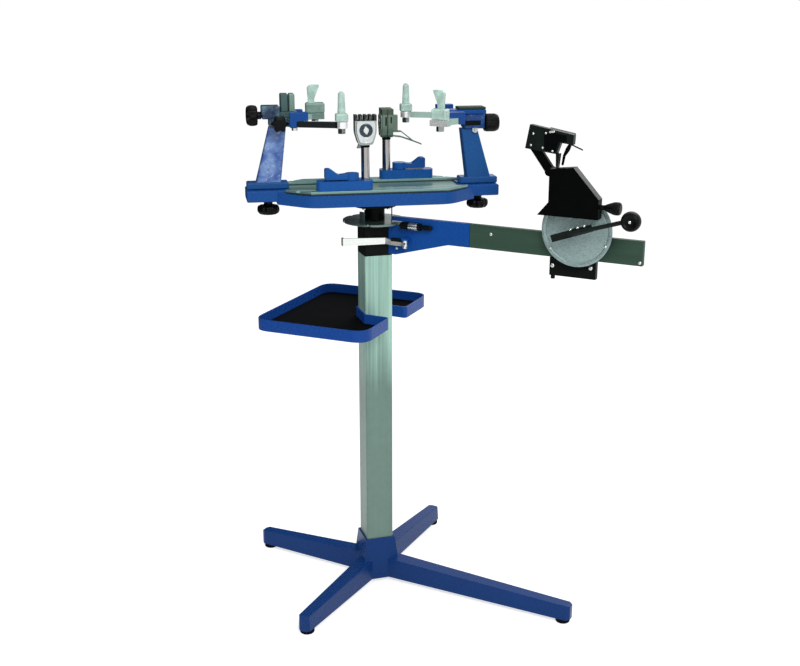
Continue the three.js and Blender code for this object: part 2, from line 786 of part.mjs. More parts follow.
// A flat lever on edge beside the neck. It narrows towards its pivot on the bracket.
function brakeLever() {
  const top = leverBottom + leverHeight;
  const tip = [leverTipX, leverTipY];
  const bend = [leverBendX, leverBendY - leverThickness / 2];
  const pivot = [leverPivotX, leverPivotY];
  const turnedTip = [leverTipX - leverTipTurn, leverTipY + leverTipTurn];
  const neckPlace = [leverNeckX, leverPivotY];
  const neckTopZ = leverBottom + leverNeckHeight;
  const endTopZ = leverBottom + leverEndHeight;
  const bendTop = (top + neckTopZ) / 2;
  const blade = joined(
    strip(turnedTip, tip, leverThickness, leverBottom, top),
    strip(tip, bend, leverThickness, leverBottom, top, bendTop),
    strip(bend, neckPlace, leverThickness, leverBottom, bendTop, neckTopZ),
    strip(neckPlace, pivot, leverThickness, leverBottom, neckTopZ, endTopZ),
    bar("z", leverThickness / 2, leverBottom, top, [...tip, 0], 8),
    bar("z", leverThickness / 2, leverBottom, bendTop, [...bend, 0], 8),
    bar("z", leverThickness / 2, leverBottom, neckTopZ, [...neckPlace, 0], 8),
    bar("z", leverBarrelRadius, leverBottom, leverBottom + leverBarrelHeight, [...pivot, 0]),
  );
  const bore = bar(
    "z", leverPinRadius + boreGap,
    leverBottom - overrun, leverBottom + leverBarrelHeight + overrun, [...pivot, 0],
  );
  return piece("brake_lever", cut(blade, bore), brightSteel);
}

function indexHousing() {
  const end = plungerStart + plungerLength;
  const barrel = bar("x", plungerRadius, plungerStart, end, [0, plungerY, discBottom]);
  const middle = (plungerStart + end) / 2;
  const foot = block(
    [middle - plungerBlockLength / 2, plungerY, discBottom - plungerRadius],
    [middle + plungerBlockLength / 2, -railFace - gap, discBottom + plungerRadius],
  );
  const bore = bar(
    "x", pinRadius + boreGap, plungerStart - overrun, end + overrun, [0, plungerY, discBottom],
  );
  return piece("index_housing", cut(joined(barrel, foot), bore), blackSteel);
}

function indexPin() {
  const pin = bar("x", pinRadius, pinTip, pinKnobStart + bite, [0, plungerY, discBottom]);
  const knobEnd = pinKnobStart + pinKnobLength;
  const knob = turned("x", [
    [0, pinKnobStart], [pinKnobRadius, pinKnobStart], [pinKnobRadius, knobEnd - chamfer],
    [pinKnobRadius - chamfer, knobEnd], [0, knobEnd],
  ], [0, plungerY, discBottom], boreSides);
  return piece("index_pin", joined(pin, knob), blackSteel);
}

// Half-widths and corners of the bed's outline, drawn in by an inset.
function bedShape(inset) {
  const wide = bedHalfWidth - inset;
  const narrow = endHalfWidth - inset;
  const straight = bedStraight - inset / 2;
  const taper = bedTaperEnd - inset;
  const points = [
    [taper, -narrow], [taper, narrow], [straight, wide], [-straight, wide],
    [-taper, narrow], [-taper, -narrow], [-straight, -wide], [straight, -wide],
  ];
  return roundedShape(points, [0, 0, bedCorner, bedCorner, 0, 0, bedCorner, bedCorner]);
}

function bed() {
  const plate = prism(bedShape(0), bedBottom, bedTop);
  const hollow = prism(bedShape(bedWall), bedBottom - overrun, bedTop - bedDeck);
  const boss = bar("z", bossRadius, bedBottom, bedTop - bedDeck + bite, [0, 0, 0], roundSides);
  let whole = joined(cut(plate, hollow), boss);
  for (const [side, reach] of [[-1, endReaches.left], [1, endReaches.right]]) {
    const end = casting(
      [Math.min(side * endStart, side * reach), -endHalfWidth, endBottom],
      [Math.max(side * endStart, side * reach), endHalfWidth, endTop],
    );
    const slot = block(
      [side * (lockPlace - towerTravel - lockSlotHalfWidth), -lockSlotHalfWidth, bedBottom - overrun],
      [side * (lockPlace + lockSlotHalfWidth), lockSlotHalfWidth, endTop + overrun],
    );
    const neckReach = lockNeckRadius + lockRoom;
    const neckRoom = block(
      [side * (lockPlace - towerTravel - neckReach), -neckReach, bedBottom - overrun],
      [side * (lockPlace + neckReach), neckReach, endBottom],
    );
    whole = cut(joined(whole, end), slot, neckRoom);
  }
  return piece("turntable_bed", whole, bluePaint);
}

// A clamp rail: a flat strip with a groove along it, its ends cut to the bed's taper.
function clampRail(name) {
  const points = [
    [-railStripLongHalf, railStripInner], [railStripLongHalf, railStripInner],
    [railStripShortHalf, railStripOuter], [-railStripShortHalf, railStripOuter],
  ];
  const plate = prism(roundedShape(points, 0), stripBottom, stripTop);
  const middle = (railStripInner + railStripOuter) / 2;
  const groove = block(
    [-railStripLongHalf - overrun, middle - grooveHalfWidth, stripTop - grooveDepth],
    [railStripLongHalf + overrun, middle + grooveHalfWidth, stripTop + overrun],
  );
  return piece(name, cut(plate, groove), satinAlloy);
}

// A tower: a base block and a leaning post. Outwards is +X.
function tower(end) {
  const top = end.towerTop;
  const outer = towerBaseInner + towerBaseLengths[end.name];
  const base = casting(
    [towerBaseInner, -towerBaseHalfWidth, towerFoot], [outer, towerBaseHalfWidth, towerBaseTop],
  );
  const points = [];
  for (const side of [-1, 1]) {
    for (const [x, step] of [[postFootInner, chamfer], [postFootOuter, -chamfer]]) {
      points.push([x, side * (postFootHalfWidth - chamfer), towerBaseTop - bite]);
      points.push([x + step, side * postFootHalfWidth, towerBaseTop - bite]);
    }
    for (const [x, step] of [[postHeadInner, chamfer], [postHeadOuter, -chamfer]]) {
      points.push([x, side * (postHeadHalfWidth - chamfer), top]);
      points.push([x + step, side * postHeadHalfWidth, top]);
    }
  }
  const hole = bar(
    "z", lockBoltRadius + boreGap, towerFoot - overrun, towerFoot + lockBoltDepth + bite, [lockPlace, 0, 0],
  );
  return piece(`${end.name}_tower`, cut(joined(base, skin(points)), hole), bluePaint);
}

// The lock knob hangs below the bed's end block, and its bolt goes up into the tower base.
function lockKnob(end) {
  const neckBottomZ = endBottom - gap - lockNeckHeight;
  const knob = lobedKnob(
    "z", lockKnobRadius, lockLobes, neckBottomZ - lockKnobHeight, neckBottomZ, [lockPlace, 0, 0],
  );
  const neckBar = bar("z", lockNeckRadius, neckBottomZ - bite, endBottom - gap, [lockPlace, 0, 0]);
  const bolt = bar(
    "z", lockBoltRadius, endBottom - gap - bite, towerFoot + lockBoltDepth, [lockPlace, 0, 0],
  );
  return piece(`${end.name}_lock_knob`, joined(knob, neckBar, bolt), blackPlastic);
}

// The cross beam that both yokes have, and the holes in it for the side arms and the side knob.
function crossBeam() {
  return casting(
    [beamPlace - beamHalfWidth, -beamHalfLength, armCentre - beamHalfHeight],
    [beamPlace + beamHalfWidth, beamHalfLength, ledgeTop], chamfer / 2,
  );
}

function beamHoles() {
  const guides = [-1, 1].map((side) => bar(
    "y", armGuideRadius + boreGap, side * (beamHalfLength - guideBoreDepth),
    side * (beamHalfLength + overrun),
    [beamPlace, 0, armCentre],
  ));
  const knobHole = bar(
    "y", screwRadius + boreGap, yokeHalfWidth - sideScrewDepth - bite, yokeHalfWidth + overrun,
    [sideKnobPlace, 0, armCentre],
  );
  return [...guides, knobHole];
}

// Left yoke: a ledge for the throat support, with an upstand that holds its screw.
function throatYoke(end) {
  const ledge = casting(
    [ledgeInner, -yokeHalfWidth, end.towerTop + gap], [ledgeOuter, yokeHalfWidth, ledgeTop],
  );
  const upstand = casting(
    [upstandInner, -yokeHalfWidth, ledgeTop - upstandDrop],
    [yokeOuter, yokeHalfWidth, ledgeTop + upstandHeight],
  );
  const screwHole = bar(
    "x", screwRadius + boreGap, upstandInner - overrun,
    yokeOuter + overrun, [0, 0, ledgeTop + throatScrewHeight],
  );
  return piece(
    `${end.name}_yoke`, cut(joined(ledge, upstand, crossBeam()), ...beamHoles(), screwHole), bluePaint,
  );
}

// Right yoke: a block with a slot for the head support's lug and a hole for its screw.
function headYoke(end) {
  const body = casting(
    [headBlockInner, -yokeHalfWidth, end.towerTop + gap], [yokeOuter, yokeHalfWidth, ledgeTop],
  );
  const neckPart = block(
    [beamPlace, -yokeHalfWidth, armCentre - beamHalfHeight + bite],
    [headBlockInner + overrun, yokeHalfWidth, ledgeTop],
  );
  const slot = block(
    [lugSlotInner, -lugHalfWidth - boreGap, armCentre - lugFloor],
    [lugSlotOuter, lugHalfWidth + boreGap, ledgeTop + overrun],
  );
  const screwHole = bar(
    "x", screwRadius + boreGap, lugSlotInner - overrun,
    yokeOuter + overrun, [0, 0, armCentre - headScrewDrop],
  );
  const whole = joined(body, neckPart, crossBeam());
  return piece(`${end.name}_yoke`, cut(whole, ...beamHoles(), slot, screwHole), bluePaint);
}

// The throat support slides on the ledge and holds two uprights.
function throatSupport() {
  const low = ledgeTop + gap;
  const top = low + throatBodyHeight;
  const body = casting(
    [throatInner, -throatHalfWidth, low], [upstandInner - gap, throatHalfWidth, top], chamfer / 2,
  );
  const [a, b, c, d] = throatPostEdges;
  const posts = [[a, b], [c, d]].map(([x0, x1]) => casting(
    [x0, -throatPostHalfWidth, top - bite], [x1, throatPostHalfWidth, top + throatPostHeight],
  ));
  const hole = bar(
    "x", screwRadius + boreGap, upstandInner - throatBoreDepth, upstandInner + overrun,
    [0, 0, ledgeTop + throatScrewHeight],
  );
  return piece("throat_support", cut(joined(body, ...posts), hole), satinAlloy);
}

// The head support is a plate on the yoke with a lip towards the racket and a lug for its screw.
function headSupport() {
  const low = ledgeTop + gap;
  const top = low + headPlateThickness;
  const plate = casting([headPlateInner, -yokeHalfWidth, low], [headPlateOuter, yokeHalfWidth, top]);
  const lip = block(
    [headPlateInner, -yokeHalfWidth + chamfer, low - headLipDrop],
    [headPlateInner + headLipThickness, yokeHalfWidth - chamfer, low + chamfer],
  );
  const lug = block(
    [lugPlace - lugHalfLength, -lugHalfWidth, armCentre - lugFloor + gap],
    [lugPlace + lugHalfLength, lugHalfWidth, low + bite],
  );
  const hole = bar(
    "x", screwRadius + boreGap, lugPlace - lugHalfLength - overrun, lugPlace + lugHalfLength + overrun,
    [0, 0, armCentre - headScrewDrop],
  );
  return piece("head_support", cut(joined(plate, lip, lug), hole), bluePaint);
}

function headPad() {
  const low = ledgeTop + gap + headPlateThickness + gap;
  const pad = casting(
    [padInner, -padHalfWidth, low], [headPlateOuter - bite, padHalfWidth, low + padThickness], bite,
  );
  return piece("head_pad", pad, rubber);
}

// Left end: a star knob whose screw reaches into the throat support.
function throatKnob(end) {
  const centre = [0, 0, ledgeTop + throatScrewHeight];
  const face = yokeOuter + gap;
  const star = lobedKnob(
    "x", starRadius, starLobes, face + starHub, face + starHub + starThickness, centre,
  );
  const hub = bar("x", hubRadius, face, face + starHub + bite, centre);
  const screw = bar("x", screwRadius, upstandInner - throatBoreDepth + bite, face + bite, centre);
  return piece(`${end.name}_end_knob`, joined(star, hub, screw), blackPlastic);
}

// Right end: a barrel knob whose screw runs through the head support's lug.
function headKnob(end) {
  const centre = [0, 0, armCentre - headScrewDrop];
  const face = yokeOuter + gap;
  const start = face + barrelNeck;
  const knob = turned("x", [
    [0, start], [barrelRadius - chamfer, start], [barrelRadius, start + chamfer],
    [barrelRadius, start + barrelLength - 2 * chamfer], [barrelRadius - 2 * chamfer, start + barrelLength],
    [0, start + barrelLength],
  ], centre);
  const hub = bar("x", hubRadius, face, start + bite, centre);
  const screw = bar("x", screwRadius, lugSlotInner - overrun / 2, face + bite, centre);
  return piece(`${end.name}_end_knob`, joined(knob, hub, screw), blackPlastic);
}

// The star knob on the yoke's side draws both side arms in or out.
function sideKnob(end) {
  const centre = [sideKnobPlace, 0, armCentre];
  const face = yokeHalfWidth + gap;
  const star = lobedKnob(
    "y", sideStarRadius, starLobes, face + sideStarHub, face + sideStarHub + sideStarThickness, centre,
  );
  const hub = bar("y", hubRadius, face, face + sideStarHub + bite, centre);
  const screw = bar("y", screwRadius, yokeHalfWidth - sideScrewDepth, face + bite, centre);
  return piece(`${end.name}_side_knob`, joined(star, hub, screw), blackPlastic);
}

// The end of a side arm: a round eye, or a block when it is turned like its pad.
function armTip([x, y], padTurn) {
  if (padTurn === null) return bar("z", eyeRadius, armBottom, armTop, [x, y, 0]);
  const end = new THREE.BoxGeometry(2 * eyeBlockHalfLength, 2 * eyeBlockHalfWidth, armBarHeight);
  return solidOf(end.rotateZ(THREE.MathUtils.degToRad(padTurn)).translate(x, y, armCentre));
}

// A side arm: a block with a guide rod in the cross beam, and a splayed bar.
function sideArm(name, side, padPlace, sleeveHeight, padTurn = null) {
  const inner = side * armBlockInner;
  const outer = side * armBlockOuter;
  const body = casting(
    [beamPlace - armBlockHalfLength, Math.min(inner, outer), armBottom - bite],
    [beamPlace + armBlockHalfLength, Math.max(inner, outer), armTop + sleeveHeight], chamfer / 2,
  );
  const sleeve = casting(
    [armSleeveInner, Math.min(inner, outer), armTop - bite],
    [beamPlace + armBlockHalfLength, Math.max(inner, outer), armTop + sleeveHeight], chamfer / 2,
  );
  const guide = bar(
    "y", armGuideRadius, side * (armBlockInner - armGuideLength), side * (armBlockInner + bite),
    [beamPlace, 0, armCentre],
  );
  const root = [beamPlace - armBlockHalfLength / 2, (side * (armBlockInner + armBlockOuter)) / 2];
  const tip = [padPlace, side * padOffset];
  const blade = strip(root, tip, armBarThickness, armBottom, armTop);
  const hole = bar("z", padBoltRadius + boreGap, armBottom - overrun, armTop + overrun, [...tip, 0], 16);
  return piece(name, cut(joined(body, sleeve, guide, blade, armTip(tip, padTurn)), hole), satinAlloy);
}

// The bolt and nut that hold a pad on its arm, below the pad's base.
function padBolt() {
  const top = armTop + gap;
  const nutTop = armBottom - gap;
  return joined(
    bar("z", padBoltRadius, nutTop - bite, top + bite, [0, 0, 0], 16),
    bar("z", nutRadius, nutTop - nutHeight, nutTop, [0, 0, 0], 6),
  );
}

function slimPad(name, place, side) {
  const low = armTop + gap;
  const baseTop = low + slimBaseHeight;
  const base = casting(
    [-slimBaseLength / 2, -slimBaseWidth / 2, low], [slimBaseLength / 2, slimBaseWidth / 2, baseTop],
  );
  const top = low + padHeight;
  const post = turned("z", [
    [0, baseTop - bite], [slimPostRadius, baseTop - bite], [slimTipRadius, top - slimRound],
    [slimTipRadius / 2, top], [0, top],
  ], [0, 0, 0], 16);
  const made = piece(name, joined(base, post, padBolt()), clearNylon);
  made.position.set(place, side * padOffset, 0);
  return made;
}

// A leaf pad: a block with a thin leaf that widens and leans towards one side.
function leafPad(end, place, side) {
  const low = armTop + gap;
  const baseTop = low + leafBaseHeight;
  const top = low + padHeight;
  const half = leafBaseLengths[end] / 2;
  const base = casting([-half, -leafBaseWidth / 2, low], [half, leafBaseWidth / 2, baseTop]);
  const foot = leafPlaces[end];
  const tip = foot - leafLean;
  const waist = baseTop + (top - baseTop) / 4;
  const outline = roundedShape([
    [foot - leafNeckWidth / 2, baseTop - bite], [foot + leafNeckWidth / 2, baseTop - bite],
    [foot + leafNeckWidth / 2, waist], [tip + leafWidth / 2, top - leafLean], [tip + leafWidth / 4, top],
    [tip - leafWidth / 2, top], [foot - leafNeckWidth / 2, waist],
  ], [0, 0, slimRound, slimRound, slimRound, slimRound, slimRound]);
  const leaf = sidePlate(outline, -leafThickness / 2, leafThickness / 2, 3);
  const made = piece(`${end}_leaf_pad`, joined(base, leaf, padBolt()), clearNylon);
  made.position.set(place, side * padOffset, 0);
  made.rotation.z = THREE.MathUtils.degToRad(leafPadTurns[end]);
  return made;
}

const ends = [
  { name: "right", turn: 0, towerTop: headTowerTop },
  { name: "left", turn: Math.PI, towerTop: throatTowerTop },
];

// Everything on one end of the turntable, with outwards along +X.
function supportEnd(end) {
  const longPad = longArmPads[end.name];
  const shortPad = shortArmPads[end.name];
  const members = [
    tower(end), lockKnob(end), sideKnob(end),
    sideArm(`${end.name}_long_arm`, 1, longPad, longSleeveHeight),
    sideArm(`${end.name}_short_arm`, -1, shortPad, shortSleeveHeight, leafPadTurns[end.name]),
    slimPad(`${end.name}_post_pad`, longPad, 1), leafPad(end.name, shortPad, -1),
  ];
  if (end.name === "right") members.push(headYoke(end), headKnob(end), headSupport(), headPad());
  else members.push(throatYoke(end), throatKnob(end), throatSupport());
  const made = group(...members);
  made.rotation.z = end.turn;
  return made;
}

// A clamp's base on its rail, with the post's socket and the cam's pivot pin.
function clampBase(name, place) {
  const [inner, outer] = [clampInner, clampOuter];
  const start = place - clampEnd;
  const end = start + clampBaseLength;
  const outline = roundedShape(
    [[start, inner], [end, inner], [end, outer], [start, outer]], clampCornerRadius,
  );
  const postY = inner + clampPostInset;
  const camY = (inner + outer) / 2;
  const socket = bar(
    "z", clampPostRadius + boreGap, clampBaseTop - clampPostDepth - gap,
    clampBaseTop + overrun, [place, postY, 0],
  );
  const pin = bar(
    "z", camPinRadius, clampBaseTop - bite, clampBaseTop + camHubHeight / 2, [place + camPlace, camY, 0],
  );
  const slab = prism(outline, clampFoot, clampBaseTop, 4);
  return piece(`${name}_clamp_base`, joined(cut(slab, socket), pin), bluePaint);
}

// The cam lever: a round hub on its pin, a low arm and a raised thumb end.
function camLever(name, place) {
  const low = clampBaseTop + gap;
  const camY = (clampInner + clampOuter) / 2;
  const x = place + camPlace;
  const hub = bar("z", camHubRadius, low, low + camHubHeight, [x, camY, 0]);
  const outline = roundedShape([
    [x, low + camArmLow], [x + camReach, low + camArmLow], [x + camReach, low + camThumbHigh],
    [x + camReach - camHalfWidth, low + camThumbHigh],
    [x + camReach / 2, low + camArmHigh], [x, low + camHubHeight],
  ], [0, slimRound, slimRound, slimRound, slimRound, 0]);
  const arm = sidePlate(outline, camY - camHalfWidth, camY + camHalfWidth, 3);
  const hole = bar("z", camPinRadius + boreGap, low - overrun, low + camHubHeight / 2 + gap, [x, camY, 0]);
  return piece(`${name}_cam_lever`, cut(joined(hub, arm), hole), bluePaint);
}

function clampPost(name) {
  const post = turned("z", [
    [0, clampBaseTop - clampPostDepth], [clampPostRadius, clampBaseTop - clampPostDepth],
    [clampPostRadius, jawFoot], [0, jawFoot],
  ], [0, 0, 0], boreSides);
  return piece(`${name}_clamp_post`, post, chromePlate);
}

// The toothed plate of a clamp: wide at its teeth and narrow at its foot.
function jawPlateSolid(front, back) {
  const shoulder = jawTop - jawShoulder;
  const outline = roundedShape([
    [-jawFootHalfWidth, jawFoot + gap], [jawFootHalfWidth, jawFoot + gap],
    [jawHalfWidth, jawFoot + jawFootHeight],
    [jawHalfWidth, jawTop], [-jawHalfWidth, jawTop], [-jawHalfWidth, jawFoot + jawFootHeight],
  ], [jawRound, jawRound, jawRound, 0, 0, jawRound]);
  const plate = sidePlate(outline, front, back);
  const pitch = (2 * jawHalfWidth - jawToothWidth) / (jawToothRows - 1);
  const slots = Array.from({ length: jawToothRows - 1 }, (_, i) => {
    const left = -jawHalfWidth + jawToothWidth + i * pitch;
    return block(
      [left, front - overrun, shoulder], [left + pitch - jawToothWidth, back + overrun, jawTop + overrun],
    );
  });
  return cut(plate, ...slots);
}

// The fixed half of a clamp's head, with its foot over the post and a round cap on its face.
function clampHead(name) {
  const plate = jawPlateSolid(-jawPlate - jawSlit / 2, -jawSlit / 2);
  const capHeight = (jawFoot + jawTop) / 2;
  const cap = bar(
    "y", jawCapRadius, -jawPlate - jawSlit / 2 - jawCapThickness, -jawPlate, [0, 0, capHeight],
  );
  return piece(`${name}_clamp_head`, joined(plate, cap), brightSteel);
}

// A bent leaf of the squeeze lever: pairs of the place along Y and the upper side's height.
function squeezeLeaf(points) {
  const half = squeezeWidth / 2;
  const runs = points.slice(1).map((next, i) => skin([points[i], next].flatMap(([y, z]) => [
    [-half, y, z], [half, y, z], [-half, y, z - squeezeThickness], [half, y, z - squeezeThickness],
  ])));
  return joined(...runs);
}

// The moving half of a clamp's head, hung on its foot, with the looped squeeze lever at its back.
function clampJaw(name) {
  const front = jawSlit / 2;
  const back = front + jawPlate;
  const plate = jawPlateSolid(front, back);
  const top = jawFoot + squeezeHigh;
  const join = [back + squeezeJoin, top - squeezeJoinDrop];
  const upper = squeezeLeaf([
    [back - bite, top], [back + squeezeBend, top], join, [back + squeezeLength, top - squeezeDrop],
  ]);
  const low = top - squeezeSpread;
  const lower = squeezeLeaf([[back - bite, low], [back + squeezeBend, low - squeezeThickness], join]);
  const middleZ = (jawFoot + jawTop) / 2;
  const half = squeezeWidth / 2;
  const housing = block(
    [-half, back - bite, middleZ - squeezeBlockHalfHeight],
    [half, back + squeezeBlockLength, middleZ + squeezeBlockHalfHeight],
  );
  return piece(`${name}_clamp_jaw`, joined(plate, upper, lower, housing), satinAlloy);
}

// One string clamp. Its head is turned about the post.
function stringClamp(name, turn) {
  const place = clampPlaces[name];
  const swivel = group(clampPost(name), clampHead(name), clampJaw(name));
  swivel.position.set(place, clampInner + clampPostInset, 0);
  swivel.rotation.z = THREE.MathUtils.degToRad(clampHeadTurns[name]);
  const made = group(clampRail(`${name}_rail`), clampBase(name, place), camLever(name, place), swivel);
  made.rotation.z = turn;
  return made;
}

// The carriage holds the rail from below, above and behind, and carries the crank's shaft.
function carriage() {
  const back = railFace + rackDepth + gap;
  const outer = back + cheekThickness;
  const low = block(
    [-carriageLeft, -railFace, railBottom - gap - carriageLowHeight],
    [carriageRight, railFace, railBottom - gap],
  );
  const cheek = block(
    [-coverBodyLeft + coverWall, railFace - bite, railBottom - gap - carriageLowHeight],
    [cheekRight, outer, crankHeight + cheekHeight],
  );
  const railRoom = block(
    [-carriageLeft - overrun, -railFace - overrun, railBottom - gap],
    [carriageRight + overrun, back, railTop + gap],
  );
  const upperRoom = block(
    [-carriageLeft, -railFace, railTop], [carriageRight, back, crankHeight + coverDeepBottom],
  );
  const mast = block(
    [-coverBodyLeft + coverWall, back, crankHeight], [-mastInner, outer, crankHeight + mastHeight],
  );
  const upper = block(
    [-carriageTopHalfLength, -railFace, railTop + gap],
    [carriageTopHalfLength, back + bite, railTop + gap + carriageTopHeight],
  );
  const pocket = bar("y", pinionRadius + bite, railFace - gap, back, [0, 0, crankHeight], roundSides);
  const bore = bar("y", crankShaftRadius + boreGap, -railFace - overrun, back, [0, 0, crankHeight]);
  const legZ = railBottom - gap - carriageLowHeight;
  const lockLeg = bar(
    "z", lockLegRadius, legZ - lockLegHeight, legZ + bite, [-lockLegPlace + bite, 0, 0], 16,
  );
  const body = cut(joined(low, cut(cheek, upperRoom), mast, upper), railRoom, pocket, bore);
  return piece("carriage", joined(body, lockLeg), blackSteel);
}

// The cover in front of the wheel: a slanted outline with a pointed tip at its lower left.
function coverShape(inset) {
  const z = crankHeight;
  return roundedShape([
    [-coverLeft + 2 * inset, z + coverBottom + inset], [coverRight - inset, z + coverBottom + inset],
    [coverRight - inset, z + coverShoulder - inset / 2],
    [-coverTopInner - inset / 2, z + coverTopRight - inset],
    [-coverBodyLeft + inset, z + coverTopLeft - inset], [-coverBodyLeft + inset, z + coverStep + inset / 2],
  ], 0);
}

function cover() {
  const front = -railFace - coverFront;
  const back = front + coverDepth;
  const shell = sidePlate(coverShape(0), front, back);
  const inside = sidePlate(coverShape(coverWall), front + coverWall, back + overrun);
  const z = crankHeight;
  const deep = block(
    [-coverBodyLeft, front + coverWall - bite, z + coverDeepBottom],
    [-mastInner, railFace + rackDepth, z + mastHeight],
  );
  const ears = [-1, 1].map((side) => {
    const near = side * (gripArmThickness / 2 + gap);
    const far = side * (gripArmThickness / 2 + gap + earThickness);
    const round = bar(
      "y", earRadius, Math.min(near, far), Math.max(near, far), [gripPivotX, 0, z + gripPivotHeight],
    );
    const web = block(
      [gripPivotX, Math.min(near, far), z + gripPivotHeight - earRadius + bite],
      [-coverBodyLeft + bite, Math.max(near, far), z + gripPivotHeight + earRadius / 2],
    );
    return joined(round, web);
  });
  const reach = gripArmThickness / 2 + gap + earThickness;
  const pin = bar("y", gripPinRadius, -reach, reach, [gripPivotX, 0, z + gripPivotHeight]);
  const knobHole = bar(
    "x", tensionKnobNeck + boreGap, coverRight - coverWall - overrun, coverRight + overrun,
    [0, (front + back) / 2, z + tensionKnobHeight],
  );
  return piece("tension_cover", cut(joined(cut(shell, inside), deep, ...ears, pin), knobHole), blackSteel);
}

function wheel() {
  const back = -railFace - wheelStandOff;
  const plate = bar("y", wheelRadius, back - wheelThickness, back, [0, 0, crankHeight], 2 * roundSides);
  const hole = bar(
    "y", crankShaftRadius + gap, back - wheelThickness - overrun, back + overrun, [0, 0, crankHeight],
  );
  return piece("drum_wheel", cut(plate, hole), satinAlloy);
}

// The crank: shaft with its pinion, hub, flat bar and the rod that ends in the knob's pin.
function crank() {
  const wheelFront = -railFace - wheelStandOff - wheelThickness;
  const hubFront = wheelFront - gap - crankHubLength;
  const barFront = hubFront - crankBarThickness;
  const shaft = bar("y", crankShaftRadius, hubFront, railFace + rackDepth, [0, 0, 0]);
  const pinion = bar("y", pinionRadius, railFace + gap, railFace + rackDepth, [0, 0, 0], roundSides);
  const hub = bar("y", crankHubRadius, hubFront, wheelFront - gap, [0, 0, 0]);
  const flat = new THREE.BoxGeometry(crankBarLength, crankBarThickness + bite, crankBarWidth);
  flat.translate(0, barFront + (crankBarThickness + bite) / 2, 0);
  flat.rotateY(-THREE.MathUtils.degToRad(crankBarTurn));
  const rodY = barFront - crankRodRadius + bite;
  const turn = THREE.MathUtils.degToRad(crankRodTurn);
  const rod = new THREE.CylinderGeometry(crankRodRadius, crankRodRadius, crankReach, 16);
  rod.rotateZ(-Math.PI / 2).translate(crankReach / 2, rodY, 0).rotateY(-turn);
  const end = [crankReach * Math.cos(turn), 0, crankReach * Math.sin(turn)];
  const root = bar("y", crankHubRadius, rodY - crankRodRadius, barFront + bite, [0, 0, 0]);
  const pin = bar("y", crankPinRadius, rodY - crankPinLength, rodY + crankRodRadius, end, 16);
  const whole = joined(shaft, pinion, hub, solidOf(flat), solidOf(rod), root, pin);
  const made = piece("crank_arm", whole, blackSteel);
  made.position.z = crankHeight;
  return made;
}

function crankKnob() {
  const wheelFront = -railFace - wheelStandOff - wheelThickness;
  const rodY = wheelFront - gap - crankHubLength - crankBarThickness - crankRodRadius + bite;
  const turn = THREE.MathUtils.degToRad(crankRodTurn);
  const back = rodY - crankRodRadius - gap;
  const front = back - crankKnobLength;
  const knob = turned("y", [
    [0, front], [crankKnobRadius / 2, front], [crankKnobRadius - chamfer, front + 2 * chamfer],
    [crankKnobRadius, (front + back) / 2], [crankKnobRadius - chamfer, back - 2 * chamfer],
    [crankKnobRadius / 2, back], [0, back],
  ], [0, 0, 0], boreSides);
  const hole = bar(
    "y", crankPinRadius + boreGap, rodY - crankPinLength - gap, back + overrun, [0, 0, 0], 16,
  );
  const made = piece("crank_knob", cut(knob, hole), blackPlastic);
  made.position.set(crankReach * Math.cos(turn), 0, crankHeight + crankReach * Math.sin(turn));
  return made;
}

function tensionKnob() {
  const y = -railFace - coverFront + coverDepth / 2;
  const start = coverRight + gap;
  const end = start + tensionKnobLength;
  const knob = turned("x", [
    [0, coverRight - tensionKnobInside], [tensionKnobNeck, coverRight - tensionKnobInside],
    [tensionKnobNeck, start + tensionKnobNeck * 2], [tensionKnobRadius, end - tensionKnobRadius],
    [tensionKnobRadius, end - chamfer], [tensionKnobRadius - chamfer, end], [0, end],
  ], [0, y, crankHeight + tensionKnobHeight], boreSides);
  return piece("tension_knob", knob, blackPlastic);
}

function fromCrank(points) {
  return points.map(([x, z]) => [x, crankHeight + z]);
}

// The gripper's arm: a flat bar from its pivot on the cover up to the back of the fixed jaw.
function gripperArm() {
  const pivotZ = crankHeight + gripPivotHeight;
  const boss = bar(
    "y", gripPivotRadius, -gripArmThickness / 2, gripArmThickness / 2, [gripPivotX, 0, pivotZ],
  );
  const dx = gripHeadX - gripPivotX;
  const dz = gripHeadHeight - gripPivotHeight;
  const length = Math.hypot(dx, dz);
  const blade = new THREE.BoxGeometry(length, gripArmThickness, gripArmWidth);
  blade.rotateY(-Math.atan2(dz, dx)).translate(gripPivotX + dx / 2, 0, pivotZ + dz / 2);
  const hole = bar(
    "y", gripPinRadius + boreGap, -gripArmThickness, gripArmThickness, [gripPivotX, 0, pivotZ],
  );
  return piece("gripper_arm", cut(joined(boss, solidOf(blade)), hole), blackSteel);
}

function gripperHead() {
  const back = -gripArmThickness / 2 - gap;
  const front = back - gripPlateThickness;
  const plate = sidePlate(roundedShape(fromCrank(gripOutline), bite), front, back, 2);
  const strut = sidePlate(roundedShape(fromCrank(gripStrut), 0), front + chamfer, back);
  return piece("gripper_head", joined(plate, strut), blackSteel);
}

